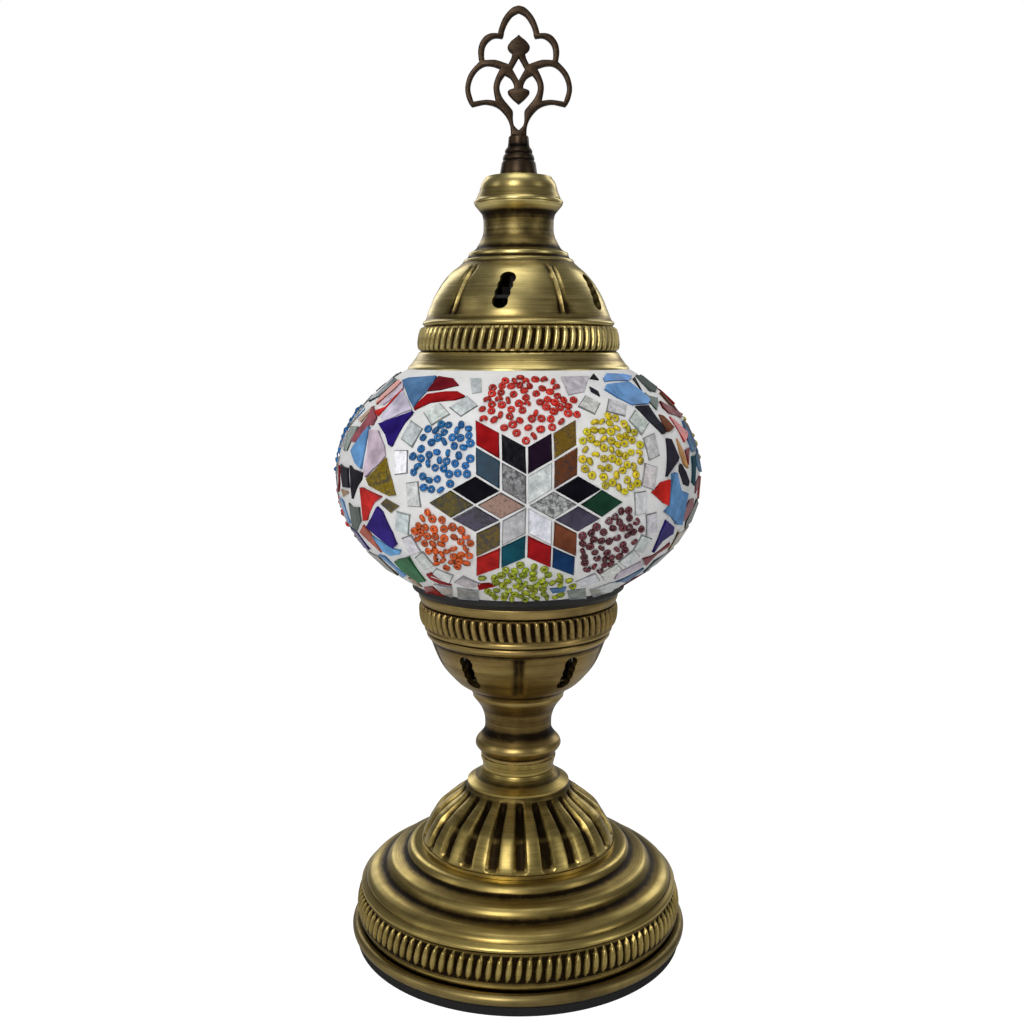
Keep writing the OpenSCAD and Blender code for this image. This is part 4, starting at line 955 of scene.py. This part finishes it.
RIGHT_FIELD = shards("""
    SKY 39 209 44 210.5 55.5 210 60 209 53.5 208 38 208;
    SKY 34.5 205.5 37.5 207 52.5 207.5 54.5 204.5 55 201.5 52 200.5 43 200.5 38 203;
    SLATE_BLACK 44 200 51.5 200 52 196.5 53 193 52 191 50.5 191 46.5 195.5 45.5 197.5;
    DARK_GREEN 56.5 204 57.5 203 63 202 60 200.5 55 198.5 54.5 200.5 55 203;
    GREY_GREEN 68.5 209.5 80.3 209 80.3 205 68 204 62.5 204.5 64.5 207.5;
    SLATE_BLACK 59.5 208.5 63.5 209 55.5 204.5;
    MAROON 62.5 201 79.5 195.5 74 195 63 197 61 199;
    BROWN 72.5 203.5 80.3 199 80.3 197 80.3 196 71 200;
    BROWN 54.5 197 57 196.5 58.5 195 60 192.5 56 191.5 53.5 191.5 53.5 194;
    RED 61.5 196 64 195 70 190 67 188.5 63 187.5 62.5 191 61.5 195;
    PEACH 58 189 60 185 60.5 181.5 60.5 179 58 180.5 57 184 57.5 187;
    SLATE_BLACK 51.5 189.5 54 189 56 183 55 182 49.5 179 47 177.5;
    SLATE_BLACK 55 180.5 56 181 59 178 61 174.5 60 173 57 174 54.5 178.5;
    MAROON 61.5 185 66 185.5 61.5 180 61.5 181.5;
    RED 40.5 173 44.5 176 49 176.5 49 174 48.5 168 46 169;
    SKY 50 178 52 178.5 54 175 56 172 61 170.5 60.5 168 59.5 160 56.5 160.5 52 163.5 47 166 49.5 168
    49.5 174;
    ROSE 62.5 168 67 168 69 164.5 65 161 61 160.5 60 165;
    INDIGO 49 163 56.5 159.5 58 157 52.5 155 50 151.5 49 155 48.5 159;
    MAROON 46.5 149.5 53 150 59.5 153.5 61 152 55.5 150 53 146;
    LILAC_PALE 39.5 142.5 38 145.5 46.5 148.5 51 146.5 44.5 143.5;
    STEEL_BLUE 42.5 141 46.5 142 53.5 145 55 143 52.5 139.5;
    STEEL_BLUE 73 194 76 191 80.3 186.5 72 183.5 67.5 184 67.5 190;
    TEAL 66 182.5 71 182.5 69 177.5 66 172.5 63.5 174;
    ROSE 67.5 173 73.5 175 72 171 68.5 169.5;
    CLEAR 18 209.5 31.5 209.5 25 205 18 204;
    SLATE_BLACK 36 210.5 35.5 208.5 31.5 209;
    SLATE_BLACK 28.5 206.5 31 205 30.5 203.5 28 205;
    SILVER 20 139.5 28 140 37 134.5 26.5 134.5;
    STEEL_BLUE 12 141 18.5 141.5 19 139.5 14 139;
    SILVER 31 139 39.5 141 46.5 141 51 136 41.5 134.5;
    STEEL_BLUE 70.5 181.8 79 184 80.3 181 80.3 175.5 75 176.5 70.5 179;
    RED 75 174.8 80.3 174 80.3 166 74 168.5;
    DARK_GREEN 66 160 70 163.5 73 167 80.3 164.5 80.3 158 70 157;
    GOLD 62 157 69 155.5 80.3 156.5 80 150.5 66 149.5;
    SLATE 58 147 64 148 79 148.8 77 143 60 142.2;
    ROSE 57.5 140.5 76 141 74 136.5 58 136.5;
    TAN 77.5 192.5 80.3 194 80.3 186.5 80.3 188""")
# Shards nearer than this to a star's middle line, in degrees, are laid beside every star
BY_THE_STAR = 36.0


def jitter(colour, rng, amount=0.14):
    lift = 1 + rng.uniform(-amount, amount)
    return tuple(c * lift * (1 + rng.uniform(-0.06, 0.06)) for c in colour)


def star(mosaic, middle, number, rng):
    side = RHOMB_SIDE
    half = (side - 0.72 / math.sin(math.radians(60))) * math.cos(math.radians(30))
    wide = half * math.tan(math.radians(30))
    for k in range(6):
        arm = math.radians(30 + 60 * k)
        colours = STAR_ARMS[(k + 2 * number) % 6]
        for (qx, qy), (kind, colour) in zip(((0, 0.5), (0, 1.5), (-0.5, 1), (0.5, 1)), colours):
            x, y = qx * side, 2 * qy * side * math.cos(math.radians(30))
            spots = []
            for dx, dy in ((0, half), (wide, 0), (0, -half), (-wide, 0)):
                px, py = x + dx + rng.uniform(-0.12, 0.12), y + dy + rng.uniform(-0.12, 0.12)
                u = px * math.cos(arm) + py * math.sin(arm)
                v = -px * math.sin(arm) + py * math.cos(arm) - STAR_DROP
                spots.append(local_spot(middle, u, v))
            mosaic.lay(spots, kind, jitter(COLOURS[colour], rng), rng)


def border(mosaic, middle, rng):
    walls = []
    for i, (turn, away) in enumerate(BORDER):
        here = math.radians(turn)
        nearest = [b for b in BORDER if b is not BORDER[i]]
        nearest.sort(key=lambda b: abs((b[0] - turn + 180) % 360 - 180))
        a, b = nearest[0], nearest[1]
        pa, pb = [(s * math.sin(math.radians(t)), s * math.cos(math.radians(t))) for t, s in (a, b)]
        along = Vector((pb[0] - pa[0], pb[1] - pa[1])).normalized()
        spin = math.atan2(along.y, along.x) + rng.uniform(-0.12, 0.12)
        length, width = rng.uniform(6.9, 8.0), rng.uniform(5.0, 6.1)
        u0, v0 = away * math.sin(here), away * math.cos(here) - STAR_DROP
        spots = []
        for dx, dy in ((-0.5, -0.5), (0.5, -0.5), (0.5, 0.5), (-0.5, 0.5)):
            x, y = dx * length + rng.uniform(-0.5, 0.5), dy * width + rng.uniform(-0.4, 0.4)
            spots.append(local_spot(middle, u0 + x * math.cos(spin) - y * math.sin(spin),
                v0 + x * math.sin(spin) + y * math.cos(spin)))
        mosaic.lay(spots, "clear", jitter(COLOURS["CLEAR"], rng, 0.1), rng)
        walls.append([flat_spot(middle, *spot) for spot in spots])
    return walls


def in_star(u, v, margin):
    """True where a spot lies on one of the star's arms or closer to it than margin mm."""
    tall, slope = 2 * RHOMB_SIDE * math.sqrt(3), math.tan(math.radians(30))
    for k in range(6):
        arm = math.radians(30 + 60 * k)
        x, y = u * math.cos(arm) - v * math.sin(arm), u * math.sin(arm) + v * math.cos(arm)
        reach = min(y, tall - y) * slope + margin / math.cos(math.radians(30))
        if -margin < y < tall + margin and abs(x) < reach:
            return True
    return False


def bead_shape():
    """One glass bead: a short fat ring."""
    bm = bmesh.new()
    ring = bmesh.ops.create_circle(bm, cap_ends=False, radius=0.55 * MM, segments=6)["verts"]
    bmesh.ops.rotate(bm, verts=ring, cent=(0, 0, 0), matrix=Matrix.Rotation(math.pi / 2, 3, "X"))
    bmesh.ops.scale(bm, verts=ring, vec=(1, 1, 1.3))
    bmesh.ops.translate(bm, verts=ring, vec=(0.86 * MM, 0, 0))
    bmesh.ops.spin(bm, geom=ring + list(bm.edges), cent=(0, 0, 0), axis=(0, 0, 1), dvec=(0, 0, 0), angle=TAU,
        steps=9, use_merge=True, use_normal_flip=False, use_duplicate=False)
    bmesh.ops.remove_doubles(bm, verts=bm.verts, dist=1e-6)
    bmesh.ops.recalc_face_normals(bm, faces=bm.faces)
    return poured("bead", bm)


def outside(u, v, corners, margin):
    """True where a spot lies more than margin mm outside a polygon."""
    inner = False
    for i, (ax, ay) in enumerate(corners):
        bx, by = corners[i - 1]
        dx, dy = bx - ax, by - ay
        share = max(0, min(1, ((u - ax) * dx + (v - ay) * dy) / (dx ** 2 + dy ** 2)))
        if math.hypot(u - ax - dx * share, v - ay - dy * share) < margin:
            return False
        if (ay > v) != (by > v) and u < dx * (v - ay) / dy + ax:
            inner = not inner
    return not inner


def flat_spot(middle, turn, t):
    """The inverse of local_spot, measured from the star's middle."""
    return (math.radians(turn - middle) * TILE_A * math.cos(t),
        float(np.interp(t, ARC_T, ARC_LENGTH)) + STAR_DROP)


def bead_spots(rng, walls):
    """Spots for the beads round one star, scattered until no more fit."""
    spots = []
    for k, (turn, away, reach, _) in enumerate(CLUSTERS):
        u0, v0 = away * math.sin(math.radians(turn)), away * math.cos(math.radians(turn))
        done = []
        for _ in range(BEAD_TRIES):
            u, v = u0 + rng.uniform(-reach, reach), v0 + rng.uniform(-reach, reach)
            if math.hypot(u - u0, v - v0) > reach \
                    or any((u - a) ** 2 + (v - b) ** 2 < BEAD_SPACING ** 2 for a, b in done):
                continue
            height = math.sin(arc_angle(v - STAR_DROP)) * TILE_B + GLOBE_MID
            if in_star(u, v, 1.35) or not BEADS_LOW < height < BEADS_HIGH:
                continue
            if all(outside(u, v, wall, 1.5) for wall in walls):
                done.append((u, v))
        spots += [(k, u, v) for u, v in done]
    return spots


def beads(middles, walls, rng, material):
    shape = bead_shape()
    bm = bmesh.new()
    tints = []
    spots = bead_spots(rng, walls)
    for number, middle in enumerate(middles):
        for k, u, v in spots:
            colour = CLUSTERS[(k + 2 * number) % 6][3]
            spot, n = on_globe(*local_spot(middle, u, v - STAR_DROP), GROUT_A + 0.25, GROUT_B + 0.25)
            lean = rng.choice((0.1, 0.3, 0.5, 0.8, 1.45))
            axis = Vector((rng.uniform(-1, 1), rng.uniform(-1, 1), rng.uniform(-1, 1))).cross(n).normalized()
            stand = (n * math.cos(lean) + axis * math.sin(lean)).normalized()
            copy = shape.copy()
            copy.transform(Matrix.Translation(spot * MM) @ stand.to_track_quat("Z", "Y").to_matrix().to_4x4()
                @ Matrix.Scale(rng.uniform(0.92, 1.08), 4))
            bm.from_mesh(copy)
            bpy.data.meshes.remove(copy)
            tints.append(jitter(colour, rng, 0.3))
    mesh = poured("seed_beads", bm)
    each = len(mesh.loops) // len(tints)
    colour = np.concatenate([np.repeat(np.array(tints), each, axis=0), np.ones((len(mesh.loops), 1))], axis=1)
    paint(mesh, colour)
    bpy.data.meshes.remove(shape)
    dress(placed("seed_beads", mesh, 0), material, "globe", "seed_beads", "bead_clusters")


def globe():
    low, high = math.asin((133.9 - GLOBE_MID) / GROUT_B), math.asin((213.4 - GLOBE_MID) / GROUT_B)
    outer = [(GROUT_A * math.cos(t), GROUT_B * math.sin(t) + GLOBE_MID) for t in np.linspace(low, high, 78)]
    inner = [(GLASS_A * math.cos(t), GLASS_B * math.sin(t) + GLOBE_MID)
        for t in np.linspace(low * 0.985, high * 0.985, 40)]
    inner = [(r, z) for r, z in inner if r > 33.7][::-1]
    grout = turned("grout_skin", outer + inner, 224)
    dress(grout, white_grout(), "globe", "grout", "mosaic_bed")

    rng = random.Random(41)
    glasses = [stained_glass(), speckled_mirror(), mirror_glass(), pale_glass()]
    middles = [2.1, 122.1, 242.1]
    stars, edges, field = Mosaic(), Mosaic(), Mosaic()
    walls = []
    for number, middle in enumerate(middles):
        star(stars, middle, number, rng)
        walls += border(edges, middle, rng)
    walls = walls[:len(BORDER)]
    near = [shard for shard in LEFT_FIELD + RIGHT_FIELD
        if abs(sum(a for a, _ in shard[2]) / len(shard[2])) < BY_THE_STAR]
    walls += [[flat_spot(middles[0], *height_spot(a, z)) for a, z in corners] for _, _, corners in near]
    far = [[shard for shard in side if shard not in near] for side in (RIGHT_FIELD, LEFT_FIELD)]
    for turn, shards in ((0, near), (120, near), (240, near), (0, far[0]), (120, far[0]), (0, far[1])):
        for kind, colour, corners in shards:
            field.lay([height_spot(a + turn, z) for a, z in corners], kind, jitter(colour, rng), rng)
    for mosaic, name, slot, node, painted_edge_shade in (
            (stars, "star_glass", "mosaic_glass", "star_tiles", 0.5),
            (edges, "border_glass", "clear_tiles", "border_tiles", 0.3),
            (field, "field_glass", "mosaic_glass", "field_tiles", 0.5)):
        piece, used = mosaic.finish(name, glasses, painted_edge_shade)
        dress(piece, used, "globe", slot, node)
    beads(middles, walls, rng, bead_glass())


# ---------------------------------------------------------------- kept pieces of the frame
def kept_pieces():
    zinc = plain_metal("zinc_plate", rgb(0.60, 0.61, 0.62), 0.36, rgb(0.40, 0.40, 0.38))
    drawn = plain_metal("drawn_brass", rgb(0.80, 0.60, 0.28), 0.28, rgb(0.50, 0.34, 0.13))
    rolled = plain_metal("rolled_aluminium", rgb(0.78, 0.78, 0.79), 0.26, rgb(0.62, 0.62, 0.63))
    iron = plain_solid("painted_iron", rgb(0.045, 0.045, 0.048), rgb(0.09, 0.075, 0.065), 0.6, 260, 0.0003)
    felt = plain_solid("pressed_felt", rgb(0.006, 0.006, 0.007), rgb(0.016, 0.015, 0.015), 0.88, 1400, 0.0004)
    rubber = plain_solid("gasket_rubber", rgb(0.004, 0.004, 0.004), rgb(0.013, 0.012, 0.012), 0.55, 500, 0.0001)
    plastic = plain_solid("holder_plastic", rgb(0.014, 0.014, 0.015), rgb(0.026, 0.026, 0.027), 0.42, 800, 0.00005)
    blown = clear_glass("blown_glass", rgb(0.93, 0.96, 0.96), 0.02)
    bulb_clear = clear_glass("bulb_clear_glass", rgb(0.97, 0.98, 0.98), 0.0)
    phosphor = plain_solid("phosphor", rgb(0.85, 0.62, 0.16), rgb(0.95, 0.78, 0.35), 0.45, 700, 0.00005)
    for names, material in (
            (("base_washer", "base_nut", "cup_washer", "cup_nut", "harp", "stud", "stud_nuts",
                "socket_base"), zinc),
            (("lamp_pipe", "socket_contact", "socket_screw_shell"), drawn),
            (("bulb_cap", "bulb_tip"), rolled), (("base_weight",), iron), (("felt_pad",), felt),
            (("bottom_gasket", "top_gasket", "cord_grommet"), rubber), (("socket_body",), plastic),
            (("globe_glass",), blown), (("bulb_glass", "filament_stem"), bulb_clear),
            (("led_filaments",), phosphor), (("finial_washer",), RIM_BRASS)):
        for name in names:
            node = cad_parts[name]
            node.data.materials.clear()
            node.data.materials.append(material)


# ---------------------------------------------------------------- stage, light and camera
def pale_floor():
    bm = bmesh.new()
    bmesh.ops.create_circle(bm, cap_ends=True, radius=4.0, segments=96)
    mesh = poured("floor", bm)
    floor = set_down("floor", mesh)
    mat, tree, face = new_material("pale_floor", Roughness=0.6, Specular_IOR_Level=0.2)
    mottle = noise(tree, object_place(tree), 3, 2)
    feed(face, "Base Color", blend_colour(tree, mottle, rgb(0.80, 0.80, 0.80), rgb(0.84, 0.84, 0.84)))
    glow = add(tree, "ShaderNodeEmission", {0: rgb(1, 1, 1), 1: 1.26})
    seen = maths(tree, "MULTIPLY", add(tree, "ShaderNodeLightPath").outputs["Is Camera Ray"], 0.8)
    mix = add(tree, "ShaderNodeMixShader", {0: seen, 1: face.outputs[0], 2: glow.outputs[0]})
    out = next(n for n in tree.nodes if n.type == "OUTPUT_MATERIAL")
    tree.links.new(mix.outputs[0], out.inputs[0])
    mesh.materials.append(mat)


def soft_box(name, turn, lift, away, size, power, aim=0.17):
    """An area light at turn degrees right of the front, lift degrees up, aimed at the lamp."""
    lamp = bpy.data.lights.new(name, "AREA")
    lamp.shape, lamp.size, lamp.size_y, lamp.energy = "RECTANGLE", size[0], size[1], power
    holder = set_down(name, lamp)
    a, b = math.radians(turn) + FRONT, math.radians(lift)
    spot = Vector((math.cos(a) * math.cos(b), math.sin(a) * math.cos(b), math.sin(b))) * away
    spot.z += aim
    holder.location = spot
    holder.rotation_euler = (spot - Vector((0, 0, aim))).to_track_quat("Z", "Y").to_euler()


def light():
    scene = bpy.context.scene
    scene.view_settings.view_transform = "Standard"
    world = bpy.data.worlds.new("studio")
    scene.world = world
    world.use_nodes = True
    tree = world.node_tree
    tree.nodes.clear()
    dim = add(tree, "ShaderNodeBackground", {0: rgb(1, 1, 1), 1: 0.13})
    white = add(tree, "ShaderNodeBackground", {0: rgb(1, 1, 1), 1: 1.0})
    ray = add(tree, "ShaderNodeLightPath").outputs["Is Camera Ray"]
    mix = add(tree, "ShaderNodeMixShader", {0: ray, 1: dim.outputs[0], 2: white.outputs[0]})
    out = add(tree, "ShaderNodeOutputWorld")
    tree.links.new(mix.outputs[0], out.inputs[0])
    soft_box("key_box", -16, 26, 1.2, (0.34, 0.62), 6.2)
    soft_box("right_box", 62, 14, 1.1, (0.22, 0.80), 1.3)
    soft_box("left_box", -74, 16, 1.1, (0.22, 0.80), 1.1)
    soft_box("top_box", 0, 84, 1.3, (0.7, 0.7), 3.2)
    soft_box("back_left_box", -150, 22, 1.2, (0.3, 0.8), 1.9)
    soft_box("back_right_box", 140, 22, 1.2, (0.3, 0.8), 1.9)


def camera():
    lens = bpy.data.cameras.new("camera")
    lens.sensor_width, lens.lens = 36, CAMERA_LENS
    holder = set_down("camera", lens)
    holder.location = (CAMERA_SIDE, -CAMERA_BACK, CAMERA_UP)
    holder.rotation_euler = (math.radians(90 - CAMERA_PITCH), 0, 0)
    bpy.context.scene.camera = holder


camera()
light()
pale_floor()
foot()
fluted_crown()
stem()
lower_cup()
globe()
cap()
finial()
kept_pieces()
